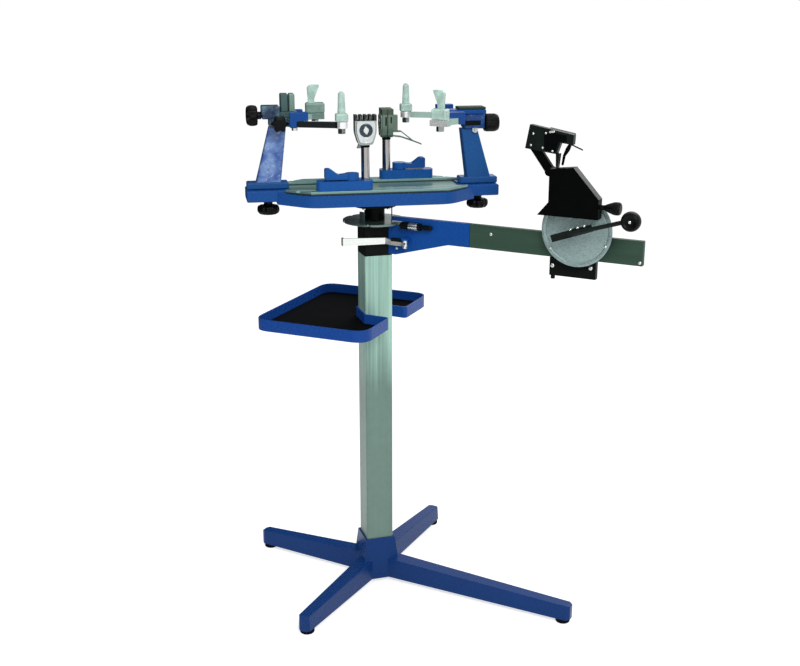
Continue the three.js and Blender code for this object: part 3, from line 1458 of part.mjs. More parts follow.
// The moving jaw with its curved link and the wire of its release.
function gripperJaw() {
  const front = -gripArmThickness / 2;
  const plate = sidePlate(roundedShape(fromCrank(gripJawOutline), 0), front, front + gripJawThickness);
  const y = front + gripJawThickness / 2;
  const points = fromCrank(gripLinkPoints);
  const beads = points.map(([x, z], i) => {
    const bead = new THREE.SphereGeometry(gripLinkRadii[i], 8, 6);
    return { bead, x, z };
  });
  const links = beads.slice(1).map((next, i) => {
    const both = [beads[i], next].flatMap(({ bead, x, z }) => {
      const place = bead.attributes.position;
      return Array.from(
        { length: place.count }, (_, k) => [place.getX(k) + x, place.getY(k) + y, place.getZ(k) + z],
      );
    });
    return skin(both);
  });
  const [wireX, wireZ] = points[0];
  const wireEnd = [wireX + gripWireLength, y, wireZ - gripWireDrop];
  const wire = skin([[wireX, y, wireZ - gripWireRadius * 3], wireEnd].flatMap(([x, , z]) => [
    [x, y - gripWireRadius, z], [x, y + gripWireRadius, z],
    [x, y, z - gripWireRadius], [x, y, z + gripWireRadius],
  ]));
  return piece("gripper_jaw", joined(plate, ...links, wire), blackSteel);
}

function tensionHead() {
  const made = group(
    carriage(), cover(), wheel(), crank(), crankKnob(),
    tensionKnob(), gripperArm(), gripperHead(), gripperJaw(),
  );
  made.position.x = headPlace;
  return made;
}

const turntable = group(
  bed(), spindle(), brakeDisc(), ...ends.map(supportEnd),
  stringClamp("rear", 0), stringClamp("front", Math.PI),
);
turntable.rotation.z = THREE.MathUtils.degToRad(restTurn);

const machine = group(
  baseCasting(), ...legPlaces.map(foot), column(), neck(), bearing(), tray(), liner(),
  armBracket(), tensionRail(), brakeLever(), indexHousing(), indexPin(), turntable, tensionHead(),
);

// The origin is the middle of the floor that the machine covers.
const bounds = new THREE.Box3().setFromObject(machine);
const middle = bounds.getCenter(new THREE.Vector3());
machine.position.set(-middle.x, -middle.y, -bounds.min.z);
machine.name = "stringing_machine";

export default machine;
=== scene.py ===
# A racket stringing machine: a cast base and a square column carry a turntable with racket
# supports and two string clamps, and an arm with a crank tension head. Metres, +Z up, +X along the
# tension arm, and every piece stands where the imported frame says.
import json
import math

import bmesh
import bpy
import numpy as np
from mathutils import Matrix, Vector

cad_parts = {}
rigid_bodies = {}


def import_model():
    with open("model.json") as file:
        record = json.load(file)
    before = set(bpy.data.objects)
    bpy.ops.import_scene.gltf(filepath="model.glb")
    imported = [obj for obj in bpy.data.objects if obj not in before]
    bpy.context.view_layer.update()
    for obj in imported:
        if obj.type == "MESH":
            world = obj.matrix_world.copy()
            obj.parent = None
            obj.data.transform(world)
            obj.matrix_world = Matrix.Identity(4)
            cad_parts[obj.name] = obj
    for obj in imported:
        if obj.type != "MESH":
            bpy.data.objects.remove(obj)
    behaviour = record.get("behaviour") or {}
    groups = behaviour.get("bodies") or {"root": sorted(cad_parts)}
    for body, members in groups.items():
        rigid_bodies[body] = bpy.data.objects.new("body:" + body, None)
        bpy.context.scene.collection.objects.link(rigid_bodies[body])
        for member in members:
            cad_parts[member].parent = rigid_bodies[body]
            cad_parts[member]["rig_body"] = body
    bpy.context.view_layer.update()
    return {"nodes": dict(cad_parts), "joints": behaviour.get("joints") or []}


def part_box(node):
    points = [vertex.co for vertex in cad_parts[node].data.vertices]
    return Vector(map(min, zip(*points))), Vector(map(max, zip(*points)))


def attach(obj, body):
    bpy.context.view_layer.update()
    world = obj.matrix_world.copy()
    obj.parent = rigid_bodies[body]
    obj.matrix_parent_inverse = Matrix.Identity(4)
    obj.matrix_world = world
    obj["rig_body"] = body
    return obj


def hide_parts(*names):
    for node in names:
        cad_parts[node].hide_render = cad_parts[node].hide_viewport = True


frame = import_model()
joints = {joint["name"]: joint for joint in frame["joints"]}

# The camera stands in front of the crank side, a little to the right of the column and above the
# racket plane, where the photograph was taken from.
camera_place = Vector((1.0855, -2.2098, 1.3579))
camera_aim = Vector((-0.0984, 0.0263, 0.6037))
camera = bpy.data.objects.new("camera", bpy.data.cameras.new("camera"))
camera.data.lens = 52.4
camera.location = camera_place
camera.rotation_euler = (camera_aim - camera_place).to_track_quat("-Z", "Y").to_euler()
bpy.context.scene.collection.objects.link(camera)
bpy.context.scene.camera = camera
bpy.context.scene.view_settings.view_transform = "Standard"

# The studio: a pale floor that keeps the soft shadow, a white world behind it, a large soft lamp
# from the front right, a weaker one from the left and one from behind above. A dark card at the
# left, out of the picture, gives the chrome and the satin metal an edge.


class Link:
    """One output of a shader node. A sum or a product adds a Math node."""

    def __init__(self, finish, socket):
        self.finish = finish
        self.socket = socket

    def maths(self, operation, first, second):
        """A Math node of that operation on two numbers or links."""
        return self.finish.node("Math", {"operation": operation}, {0: first, 1: second})

    def __add__(self, other):
        return self.maths("ADD", self, other)

    def __mul__(self, other):
        return self.maths("MULTIPLY", self, other)

    __radd__ = __add__
    __rmul__ = __mul__


class Finish:
    """A node tree being built."""

    def __init__(self, tree):
        self.tree = tree

    def node(self, kind, settings=None, values=None, out=0):
        """Adds a node, sets its settings first and then its inputs, and gives one output."""
        made = self.tree.nodes.new("ShaderNode" + kind)
        for key, value in (settings or {}).items():
            setattr(made, key, value)
        for key, value in (values or {}).items():
            self.feed(made.inputs[key], value)
        return Link(self, made.outputs[out])

    def feed(self, socket, value):
        """Links the socket, or sets its constant."""
        if isinstance(value, Link):
            self.tree.links.new(value.socket, socket)
        else:
            socket.default_value = value

    def place(self, turn=(0, 0, 0), stretch=(1, 1, 1)):
        """Object coordinates in a frame turned by turn, drawn out along its axes by stretch."""
        spot = self.node("TexCoord", out="Object")
        sizes = {"Vector": spot, "Rotation": turn, "Scale": stretch}
        return self.node("Mapping", {"vector_type": "TEXTURE"}, sizes)

    def noise(self, scale, detail, **drawn):
        """Fractal noise of that scale and detail on the Object coordinates, about 0 to 1."""
        sizes = {"Vector": self.place(**drawn), "Scale": scale, "Detail": detail}
        return self.node("TexNoise", None, sizes)

    def mix(self, share, first, second):
        """(1 - share) times the first colour plus share times the second."""
        return self.node("Mix", {"data_type": "RGBA"}, {0: share, 6: first, 7: second}, out=2)

    def sharpened(self, value, low, high):
        """(value - low) / (high - low), kept between 0 and 1."""
        sizes = {"Value": value, "From Min": low, "From Max": high}
        return self.node("MapRange", None, sizes)

    def bump(self, height, strength, distance):
        """The normal of a skin raised by height times distance, weighed by strength."""
        return self.node("Bump", None, {"Height": height, "Strength": strength, "Distance": distance})


def colour(red, green, blue):
    """A screen colour, 0 to 255, as linear values: the inverse of the sRGB curve."""
    shares = np.array([red, green, blue]) / 255
    linear = np.where(shares <= 0.04045, shares / 12.92, ((shares + 0.055) / 1.055) ** 2.4)
    return (*linear.tolist(), 1.0)


def opened(name):
    """A new material with its finish and its shader."""
    material = bpy.data.materials.new(name)
    material.use_nodes = True
    return material, Finish(material.node_tree), material.node_tree.nodes["Principled BSDF"]


def background_rays(look):
    """1 where the camera, a mirror or a clear material looks, and 0 for light that spreads."""
    camera_ray = look.node("LightPath", out="Is Camera Ray")
    glossy_ray = look.node("LightPath", out="Is Glossy Ray")
    through_ray = look.node("LightPath", out="Is Transmission Ray")
    return camera_ray.maths("MAXIMUM", camera_ray, glossy_ray.maths("MAXIMUM", glossy_ray, through_ray))


ground, ground_look, ground_shader = opened("studio_floor")
ground_shader.inputs["Base Color"].default_value = colour(214, 214, 214)
ground_shader.inputs["Roughness"].default_value = 0.9
ground_shader.inputs["Specular IOR Level"].default_value = 0.0
floor_strength = 0.66
floor_glow = {"Color": colour(255, 255, 255), "Strength": background_rays(ground_look) * floor_strength}
floor_parts = {
    0: Link(ground_look, ground_shader.outputs[0]),
    1: ground_look.node("Emission", None, floor_glow),
}
ground_output = ground.node_tree.nodes["Material Output"]
ground_look.feed(ground_output.inputs["Surface"], ground_look.node("AddShader", None, floor_parts))
floor_half = 60.0
floor_mesh = bpy.data.meshes.new("studio_floor")
floor_corners = [(x, y, 0) for x, y in ((-1, -1), (1, -1), (1, 1), (-1, 1))]
floor_mesh.from_pydata((np.array(floor_corners) * floor_half).tolist(), [], [(0, 1, 2, 3)])
floor_mesh.materials.append(ground)
floor = bpy.data.objects.new("studio_floor", floor_mesh)
bpy.context.scene.collection.objects.link(floor)

dark_card, _, card_shader = opened("dark_card")
card_shader.inputs["Base Color"].default_value = colour(10, 11, 12)
card_shader.inputs["Roughness"].default_value = 0.9
card_radius = 2.3
card_height = 2.2
card_foot = 0.01
card_from, card_to, card_steps = 122, 264, 31
card_turns = np.radians(np.linspace(card_from, card_to, card_steps))
card_ring = np.stack([np.cos(card_turns), np.sin(card_turns)], 1) * card_radius
card_corners = [(x, y, z) for z in (card_foot, card_height) for x, y in card_ring.tolist()]
card_faces = [(i, i + 1, i + 1 + card_steps, i + card_steps) for i in range(card_steps - 1)]
card_mesh = bpy.data.meshes.new("dark_card")
card_mesh.from_pydata(card_corners, [], card_faces)
card_mesh.materials.append(dark_card)
card = bpy.data.objects.new("dark_card", card_mesh)
card.visible_camera = False
card.visible_diffuse = False
card.visible_shadow = False
bpy.context.scene.collection.objects.link(card)

world = bpy.data.worlds.new("studio")
world.use_nodes = True
bpy.context.scene.world = world
air = Finish(world.node_tree)
ambient_strength = 0.52
backdrop = world.node_tree.nodes["Background"]
air.feed(backdrop.inputs["Color"], colour(255, 255, 255))
air.feed(backdrop.inputs["Strength"], background_rays(air) * (1 - ambient_strength) + ambient_strength)

lamp_aim = Vector((0, 0, 0.85))
studio_lamps = [  # name, place, size and power
    ("key_lamp", (2.2, -2.3, 3.0), 1.4, 78.0),
    ("fill_lamp", (-1.6, -2.8, 1.6), 2.0, 11.0),
    ("back_lamp", (0.4, 2.4, 2.8), 2.0, 30.0),
]
for name, spot, size, power in studio_lamps:
    lamp = bpy.data.lights.new(name, "AREA")
    lamp.size = size
    lamp.energy = power
    lamp_object = bpy.data.objects.new(name, lamp)
    lamp_object.location = spot
    lamp_object.rotation_euler = (lamp_aim - Vector(spot)).to_track_quat("-Z", "Y").to_euler()
    lamp_object.visible_glossy = name != "fill_lamp"
    bpy.context.scene.collection.objects.link(lamp_object)


def shaded(shade, factor):
    """The same colour lighter or darker by a factor, kept at or below white."""
    return (*np.minimum(np.array(shade[:3]) * factor, 1).tolist(), 1.0)


def coated(look, shader, tone, roughness, relief, fixed):
    """Feeds the shader its tone, its roughness and a bump made of relief, which is a height, a
    strength and a distance. The fixed inputs are constants."""
    look.feed(shader.inputs["Base Color"], tone)
    look.feed(shader.inputs["Roughness"], roughness)
    look.feed(shader.inputs["Normal"], look.bump(*relief))
    for key, value in fixed.items():
        shader.inputs[key].default_value = value


def enamel(name, shade, peel=0.06, gloss=0.12):
    """Sprayed enamel: its tone drifts a little, its gloss varies, and a fine peel raises the skin."""
    material, look, shader = opened(name)
    drift = look.noise(7.0, 3.0)
    dust = look.noise(160.0, 4.0)
    tone = look.mix(drift * 0.75 + dust * 0.25, shaded(shade, 0.84), shaded(shade, 1.16))
    relief = (look.noise(520.0, 2.0), peel, 0.0005)
    coated(look, shader, tone, dust * 0.16 + 0.2, relief, {"Specular IOR Level": gloss})
    return material


def loose(node):
    """A CAD node's corners and triangles as two arrays."""
    mesh = frame["nodes"][node].data
    corners = np.empty(len(mesh.vertices) * 3)
    mesh.vertices.foreach_get("co", corners)
    triangles = np.empty(len(mesh.loops), int)
    mesh.loops.foreach_get("vertex_index", triangles)
    return corners.reshape(-1, 3), triangles.reshape(-1, 3)


def settled(name, mesh, material, body, nodes=()):
    """The mesh as an object that rides on a body, takes a slot and stands for the named CAD nodes."""
    mesh.materials.append(material)
    made = bpy.data.objects.new(name, mesh)
    bpy.context.scene.collection.objects.link(made)
    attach(made, body)
    if nodes:
        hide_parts(*nodes)
    return made


def whole(centre, normal):
    """Every face belongs to the piece."""
    return True


def dressed(node, material, edge=0.0008, steps=2, keep=whole, part="", cut=None):
    """The CAD node's own shape, or the faces of it that keep() names, with doubles merged, flat
    faces joined and edges broken by a small round. A cut is a place and a direction of a plane
    that first divides the faces."""
    name = node + "_finished" + part
    mesh = bpy.data.meshes.new(name)
    corners, triangles = loose(node)
    mesh.from_pydata(corners.tolist(), [], triangles.tolist())
    work = bmesh.new()
    work.from_mesh(mesh)
    bmesh.ops.remove_doubles(work, verts=work.verts, dist=1e-5)
    bmesh.ops.dissolve_limit(work, angle_limit=math.radians(1), verts=work.verts, edges=work.edges)
    if cut:
        everything = work.verts[:] + work.edges[:] + work.faces[:]
        bmesh.ops.bisect_plane(work, geom=everything, plane_co=cut[0], plane_no=cut[1])
    others = [face for face in work.faces if not keep(face.calc_center_median(), face.normal)]
    bmesh.ops.delete(work, geom=others, context="FACES")
    for face in work.faces:
        face.smooth = True
    work.to_mesh(mesh)
    work.free()
    body = frame["nodes"][node]["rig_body"]
    made = settled(name, mesh, material, body, [node])
    bevel = made.modifiers.new("edges", "BEVEL")
    bevel.width = edge
    bevel.segments = steps
    bevel.limit_method = "ANGLE"
    bevel.angle_limit = math.radians(32)
    made.modifiers.new("shading", "WEIGHTED_NORMAL").keep_sharp = True
    return made


# The base takes a darker copy of the blue enamel, as painted shade.
dressed("base_casting", enamel("base_shaded_enamel", colour(19, 58, 118)), 0.0022, 3)

# The four feet are round and moulded in black rubber, with a rounded rim and a shallow groove. They
# are pressed under the ends of the legs.


def eased(corners, reach, steps=3):
    """A run of corners with each inner one rounded: a quadratic curve from reach before the corner
    to reach after it."""
    points = np.array(corners, float)
    run = [points[:1]]
    share = np.linspace(0, 1, steps + 1)[:, None]
    for before, here, after in zip(points, points[1:], points[2:]):
        back, on = before - here, after - here
        near = here + back * min(reach / np.linalg.norm(back), 0.45)
        far = here + on * min(reach / np.linalg.norm(on), 0.45)
        run.append((1 - share) ** 2 * near + 2 * share * (1 - share) * here + share**2 * far)
    return np.concatenate([*run, points[-1:]]).tolist()


def woven(rows, columns):
    """Four-cornered faces over a grid whose rows are closed rings."""
    row, column = np.meshgrid(np.arange(rows - 1), np.arange(columns), indexing="ij")
    after = (column + 1) % columns
    low, high = row * columns, (row + 1) * columns
    return np.stack([low + column, low + after, high + after, high + column], -1).reshape(-1, 4).tolist()


def turned(rows, steps=64):
    """Rows of (radius, height) carried round +Z. A radius is a number or a function of the turn."""
    turn = np.arange(steps) * 2 * np.pi / steps
    radii = np.array([r(turn) if callable(r) else np.full(steps, r) for r, _ in rows])
    heights = np.array([height for _, height in rows])[:, None] + 0 * turn
    points = np.stack([radii * np.cos(turn), radii * np.sin(turn), heights], -1)
    return points.reshape(-1, 3), woven(len(rows), steps)


def stood(form, centre, axis=(0, 0, 1), spin=0.0):
    """A form with its +Z laid along the axis, its origin at the centre, spun about itself."""
    points, faces = form
    turn = np.array(Vector(axis).to_track_quat("Z", "Y").to_matrix())
    sine, cosine = math.sin(spin), math.cos(spin)
    about = np.array([[cosine, -sine, 0], [sine, cosine, 0], [0, 0, 1]])
    return points @ (turn @ about).T + np.array(centre), faces


def built(name, forms, material, body, nodes=()):
    """One mesh of several closed forms: doubles merged, faces turned outwards, and edges over
    40 degrees kept sharp."""
    start = np.cumsum([0] + [len(points) for points, _ in forms]).tolist()
    faces = [[corner + move for corner in face] for (_, some), move in zip(forms, start) for face in some]
    mesh = bpy.data.meshes.new(name)
    mesh.from_pydata(np.concatenate([points for points, _ in forms]).tolist(), [], faces)
    work = bmesh.new()
    work.from_mesh(mesh)
    bmesh.ops.remove_doubles(work, verts=work.verts, dist=1e-6)
    bmesh.ops.dissolve_degenerate(work, dist=1e-7, edges=work.edges)
    bmesh.ops.recalc_face_normals(work, faces=work.faces)
    work.to_mesh(mesh)
    work.free()
    mesh.shade_smooth()
    mesh.set_sharp_from_angle(angle=math.radians(40))
    return settled(name, mesh, material, body, nodes)


def grained(name, shade, roughness, grain, scale, gloss=0.15, spread=0.15):
    """Moulded plastic, rubber or powder coat: its tone and gloss vary and a fine grain raises it."""
    material, look, shader = opened(name)
    dust = look.noise(60.0, 4.0)
    grit = look.noise(scale, 2.0)
    tone = look.mix(dust, shaded(shade, 1 - spread), shaded(shade, 1 + spread))
    relief = (grit, grain, 0.0003)
    coated(look, shader, tone, dust * 0.14 + (roughness - 0.07), relief, {"Specular IOR Level": gloss})
    return material


foot_rubber = grained("foot_rubber", colour(11, 11, 12), 0.75, 0.35, 900.0, 0.05)
for foot in ("foot_right", "foot_back", "foot_left", "foot_front"):
    low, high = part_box(foot)
    radius = (high.x - low.x) / 2
    height = high.z - low.z
    foot_rows = eased([
        (0, 0), (radius * 0.9, 0), (radius, height * 0.22), (radius, height * 0.45),
        (radius * 0.93, height * 0.52), (radius, height * 0.6), (radius, height), (0, height),
    ], 0.0012)
    middle = ((low.x + high.x) / 2, (low.y + high.y) / 2, low.z)
    foot_form = stood(turned(foot_rows, 48), middle)
    built(foot + "_moulded", [foot_form], foot_rubber, "stand", [foot])

# The column is a square tube set corner-on, brushed along its length, with a pale green cast and
# broad streaks down it. A painted reflection makes it pale above the tray and darker below.


def height_of(look):
    """The height of a place on the object, in metres."""
    parts = {"Vector": look.node("TexCoord", out="Object")}
    return look.node("SeparateXYZ", None, parts, out="Z")


def column_painted_reflection(name, pale, deep):
    """Drawn tube with a painted reflection, pale above the tray and deeper below it, with fine and
    broad streaks down its length and small stains on the lower part."""
    material, look, shader = opened(name)
    fine = look.noise(700.0, 3.0, stretch=(1, 1, 60))
    broad = look.sharpened(look.noise(150.0, 2.0, stretch=(1, 1, 60)), 0.32, 0.68)
    stains = look.noise(55.0, 5.0)
    streak = fine * 0.35 + broad * 0.65
    # Painted reflection: the tone fades by height from the deeper lower tone to the pale upper one.
    fade = look.sharpened(height_of(look) + broad * 0.05, 0.5, 0.64)
    upper = look.mix(streak, shaded(pale, 0.66), shaded(pale, 1.3))
    lower = look.mix(streak * 0.4 + stains * 0.6, shaded(deep, 0.82), shaded(deep, 1.18))
    tone = look.mix(fade, lower, upper)
    fixed = {"Metallic": 0.25, "Specular IOR Level": 0.3}
    coated(look, shader, tone, streak * 0.16 + 0.3, (fine, 0.12, 0.0002), fixed)
    return material


dressed("column_tube", column_painted_reflection("column_metal", colour(158, 197, 182), colour(112, 138, 128)), 0.0012, 3)

# The tray is pressed sheet, enamelled blue, with a raised rim and rounded corners, and a black mat
# of fine-grained rubber lies in it.
dressed("tool_tray", enamel("tray_enamel", colour(24, 72, 152), 0.04), 0.0011, 3)
dressed("tray_liner", grained("mat_rubber", colour(8, 9, 10), 0.85, 0.6, 420.0, 0.03), 0.0006)

# The neck block is a square black steel block whose spigot fits inside the top of the column. The
# turntable's bearing, a bright steel ring, is let into its top.
black_coat = grained("black_coat", colour(12, 17, 15), 0.42, 0.2, 700.0, 0.06, 0.3)
dressed("neck_block", black_coat)


def brushed(name, shade, turn=(0, 0, 0), stretch=(1, 1, 60), roughness=0.36, metal=0.85,
            contrast=0.14, scale=700.0, gloss=0.5):
    """Metal with scratches drawn out along one axis: a fine and a broad run of them, mixed
    six to four, vary its tone, its gloss and its skin."""
    material, look, shader = opened(name)
    fine = look.noise(scale, 3.0, turn=turn, stretch=stretch)
    broad = look.sharpened(look.noise(scale / 9, 2.0, turn=turn, stretch=stretch), 0.3, 0.7)
    streak = fine * 0.6 + broad * 0.4
    tone = look.mix(streak, shaded(shade, 1 - contrast), shaded(shade, 1 + contrast))
    fixed = {"Metallic": metal, "Specular IOR Level": gloss}
    coated(look, shader, tone, streak * 0.16 + (roughness - 0.08), (fine, 0.12, 0.0002), fixed)
    return material


bearing_steel = brushed("bearing_steel", colour(190, 196, 196), stretch=(30, 30, 1), roughness=0.3)
dressed("spindle_bearing", bearing_steel)

# The bracket is a blue casting that wraps the neck's corner and laps behind the rail. A round-headed
# screw holds it low on the neck.
dressed("arm_bracket", enamel("bracket_enamel", colour(19, 75, 153)), 0.0009)


def hexagon(across):
    """A hexagon's radius: half its width over the cosine of the turn from the nearest flat's middle."""
    return lambda turn: across / 2 / np.cos((turn + np.pi / 6) % (np.pi / 3) - np.pi / 6)


def socket_screw(radius, height):
    """A cylinder head with a hexagon socket sunk to a third of its height."""
    rim = eased([(0, 0), (radius, 0), (radius, height), (radius * 0.62, height)], height * 0.18)
    floor_height = height * 0.3
    return turned([
        *rim, (hexagon(radius * 1.02), height), (hexagon(radius * 0.98), height * 0.94),
        (hexagon(radius * 0.96), floor_height), (0, floor_height),
    ], 36)


def round_screw(radius, height):
    """A domed head with a shallow round dimple."""
    return turned(eased([
        (0, 0), (radius, 0), (radius * 0.93, height * 0.55), (radius * 0.5, height),
        (radius * 0.25, height), (radius * 0.2, height * 0.7), (0, height * 0.7),
    ], height * 0.3), 36)


def hex_nut(across, height):
    """A hexagon nut or bolt head with its corners chamfered."""
    flat = hexagon(across)

    def chamfered(turn):
        """The hexagon within the circle that cuts its corners."""
        return np.minimum(flat(turn), across * 0.53)

    rows = [(0, 0), (chamfered, 0), (flat, height * 0.14), (flat, height * 0.86)]
    return turned([*rows, (chamfered, height), (0, height)], 48)


zinc = brushed("zinc_screws", colour(206, 210, 208), stretch=(1, 1, 1), roughness=0.28, metal=0.95)
rail_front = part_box("tension_rail")[0].y
crank_axis = Vector(joints["crank_turn"]["pos_m"])


def zinc_piece(name, forms, body):
    """Screws, nuts and collars in bright zinc that ride on a body."""
    built(name, forms, zinc, body)


def front_screws(name, body, front, height, spots):
    """Round screws on a face that looks towards the crank side. A spot is the place from the
    crank's axis, along and up, and the radius."""
    zinc_piece(name, [
        stood(round_screw(radius, height), (crank_axis.x + along, front, crank_axis.z + up), (0, -1, 0))
        for along, up, radius in spots
    ], body)


front_screws("bracket_screw", "stand", rail_front, 0.002, [(-0.4158, -0.081, 0.0035)])

# The rail is a flat steel bar on edge, dark green-grey and brushed along its length, with a rack on
# its back, a screw near the bracket and a stop screw at its far end.
rail_metal = brushed(
    "rail_metal", colour(57, 80, 68), stretch=(70, 1, 1), roughness=0.5, metal=0.2, contrast=0.24,
    scale=500.0, gloss=0.12,
)
dressed("tension_rail", rail_metal, 0.0005)
rail_spots = [(-0.1921, -0.0285, 0.0036), (0.1284, -0.0552, 0.0034)]
front_screws("rail_screws", "stand", rail_front, 0.0018, rail_spots)

# The brake lever is polished flat steel that narrows to a barrel on the bracket's pin. A black
# threaded sleeve lies on its thin end, and a bright nut closes the pivot.
lever_steel = brushed(
    "lever_steel", colour(232, 236, 232), stretch=(40, 40, 1), roughness=0.26, metal=0.7, contrast=0.06,
)
dressed("brake_lever", lever_steel, 0.0007)
pivot = Vector(joints["brake_lever_swing"]["pos_m"])
lever_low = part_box("brake_lever")[0]


def threaded(radius, length, pitch=0.0016, depth=0.0004):
    """A bar whose radius swings by depth as the cosine of its height, once to a pitch."""
    heights = np.arange(0, length, pitch / 4)
    ridges = radius - depth / 2 + depth / 2 * np.cos(heights / pitch * 2 * np.pi)
    rows = np.stack([ridges, heights], 1).tolist()
    return turned([(0, 0), *rows, (0, rows[-1][1])], 32)


nut_height = 0.004
sleeve_start, sleeve_aside, sleeve_rise = 0.032, 0.0005, 0.0125
sleeve_place = (pivot.x - sleeve_start, pivot.y - sleeve_aside, lever_low.z + sleeve_rise)
built("lever_sleeve", [stood(threaded(0.0042, 0.0235), sleeve_place, (1, 0, 0))],
      black_coat, "brake_lever")
zinc_piece("lever_nut", [
    stood(hex_nut(0.0085, nut_height), (pivot.x, pivot.y - 0.0049, lever_low.z + 0.0065), (0, -1, 0)),
    stood(hex_nut(0.0095, nut_height), (pivot.x, pivot.y, lever_low.z - nut_height - 0.0003)),
], "brake_lever")

# The index plunger beside the arm: a black barrel with a bright collar, and a pin drawn back by its
# small knurled knob.
dressed("index_housing", black_coat, 0.0006)
house_low, house_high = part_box("index_housing")
pin_low, pin_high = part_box("index_pin")
barrel_y = (pin_low.y + pin_high.y) / 2
barrel_z = (pin_low.z + pin_high.z) / 2
barrel_radius = house_high.z - barrel_z


def collar(radius, wall, length):
    """A thin ring round a bar, its edges eased."""
    outer = radius + wall
    rows = eased([(radius, 0), (outer, 0), (outer, length), (radius, length)], wall * 0.6)
    return turned([*rows, rows[0]], 48)


collar_start, collar_length, bite = 0.019, 0.021, 0.0002
collar_place = (house_low.x + collar_start, barrel_y, barrel_z)
collar_form = collar(barrel_radius - bite, 0.0006, collar_length)
zinc_piece("plunger_collar", [stood(collar_form, collar_place, (1, 0, 0))], "stand")
knob_radius = pin_high.z - barrel_z
knob_length = 0.022
knob_start = pin_high.x - knob_length


def knurled(radius, ridges, depth):
    """A ridged radius: less the depth, plus the depth times |cos(half the ridges times the turn)|."""
    return lambda turn: radius - depth + depth * np.abs(np.cos(turn * ridges / 2))


pull_rows = eased([
    (0.003, 0.0), (knob_radius * 0.8, 0.0), (knob_radius, 0.002), (knob_radius, knob_length * 0.8),
    (knob_radius * 0.6, knob_length), (0, knob_length),
], 0.0012)
grip = [(knurled(r, 24, 0.0004) if r > knob_radius * 0.9 else r, height) for r, height in pull_rows]
reach = pin_low.x - knob_start
pin_rows = eased([(0, reach), (0.0024, reach), (0.003, reach + 0.002), (0.003, 0.0005), (0, 0.0005)], 0.0003)
built("index_pin_turned", [
    stood(turned(form, 72), (knob_start, barrel_y, barrel_z), (1, 0, 0)) for form in (grip, pin_rows)
], black_coat, "index_pin", ["index_pin"])

# The turntable's spindle: a black turned drum under a flange that bolts to the bed, and the thin
# satin disc with the index notches and its two upright tabs.
dressed("spindle", black_coat, 0.0009)
disc_steel = brushed(
    "disc_steel", colour(108, 130, 124), stretch=(30, 30, 1), roughness=0.3, metal=0.75, contrast=0.2,
)
dressed("brake_disc", disc_steel, 0.0005, 1)
column_axis = np.array(joints["turntable_spin"]["pos_m"])
flange_height = 0.015
flange_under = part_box("spindle")[1].z - flange_height
flange_circle = 0.038
flange_turns = np.arange(4) * math.pi / 2 + math.radians(83)
zinc_piece("flange_screws", [
    stood(
        socket_screw(0.0042, 0.004),
        (*(column_axis[:2] + flange_circle * np.array([math.cos(turn), math.sin(turn)])), flange_under),
        (0, 0, -1),
    ) for turn in flange_turns
], "turntable")

# The bed is the turntable's blue casting: a broad plate with an end block for each tower. A thin
# satin glide plate covers its deck between the clamp rails.
ends = ("right", "left")
outward = {end: -np.array(joints[end + "_tower_slide"]["axis"]) for end in ends}
across = {end: np.cross((0, 0, 1), outward[end]) for end in ends}
table_turn = math.atan2(outward["right"][1], outward["right"][0])
dressed("turntable_bed", enamel("turntable_enamel", colour(27, 78, 148)), 0.0016, 3)


def at(end, along, aside, height):
    """A place on the turntable, in the frame whose +X points outwards at that end."""
    spot = column_axis + outward[end] * along + across[end] * aside
    return (spot[0], spot[1], height)


def slab(corners, low, high, ease=0.0006):
    """An upright plate over a plan outline, given anticlockwise, with its upper edge eased."""
    outline = np.array(corners)
    middle = outline.mean(0)
    drawn_in = middle + (outline - middle) * (1 - ease / np.abs(outline - middle).max())
    rings = [(outline, low), (outline, high - ease), (drawn_in, high)]
    points = [(x, y, z) for ring, z in rings for x, y in ring.tolist()]
    count = len(outline)
    caps = [list(range(count))[::-1], list(range(2 * count, 3 * count))]
    return np.array(points), [*woven(3, count), *caps]


satin_plate = brushed(
    "glide_plate", colour(94, 124, 120), turn=(0, 0, table_turn), stretch=(60, 1, 1), roughness=0.34,
    metal=0.5, contrast=0.18, scale=420.0,
)
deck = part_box("rear_rail")[0].z - 0.0002
plate_thickness = 0.0012
plate_end, plate_side, chamfer = 0.184, 0.049, 0.003
u, v = plate_end - chamfer, plate_side - chamfer
plate_corners = [at("right", along, aside, 0)[:2] for along, aside in (
    (-plate_end, -v), (-u, -plate_side), (u, -plate_side), (plate_end, -v),
    (plate_end, v), (u, plate_side), (-u, plate_side), (-plate_end, v),
)]
glide = slab(plate_corners, deck, deck + plate_thickness)
built("glide_plate", [glide], satin_plate, "turntable")

# The two clamp rails are strips of satin alloy, brushed along their length, each with its foot
# painted darker as shade and a groove. Socket screws in the groove hold it on the bed.
strip_alloy = brushed(
    "strip_alloy", colour(116, 152, 148), turn=(0, 0, table_turn), stretch=(70, 1, 1), roughness=0.36,
    metal=0.55, contrast=0.2,
)
# Painted shade: a darker copy of the strip metal for the foot of each strip.
strip_painted_shade = brushed(
    "strip_edge_shade", colour(44, 58, 54), turn=(0, 0, table_turn), stretch=(70, 1, 1), roughness=0.45,
    metal=0.3, contrast=0.2,
)
strip_foot = 0.0036
for rail in ("rear_rail", "front_rail"):
    lip = deck + strip_foot
    divide = ((0, 0, lip), (0, 0, 1))
    dressed(rail, strip_alloy, 0.0005, 2, lambda c, n, lip=lip: c.z > lip, cut=divide)
    dressed(rail, strip_painted_shade, 0.0005, 2, lambda c, n, lip=lip: c.z <= lip, "_foot", cut=divide)
strip_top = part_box("rear_rail")[1].z
groove = 0.004
strip_pitch, strip_aside = 0.128, 0.07
zinc_piece("strip_screws", [
    stood(socket_screw(0.0026, 0.0022), at(end, along, strip_aside, strip_top - groove))
    for end in ends for along in (-strip_pitch, 0.0, strip_pitch)
], "turntable")
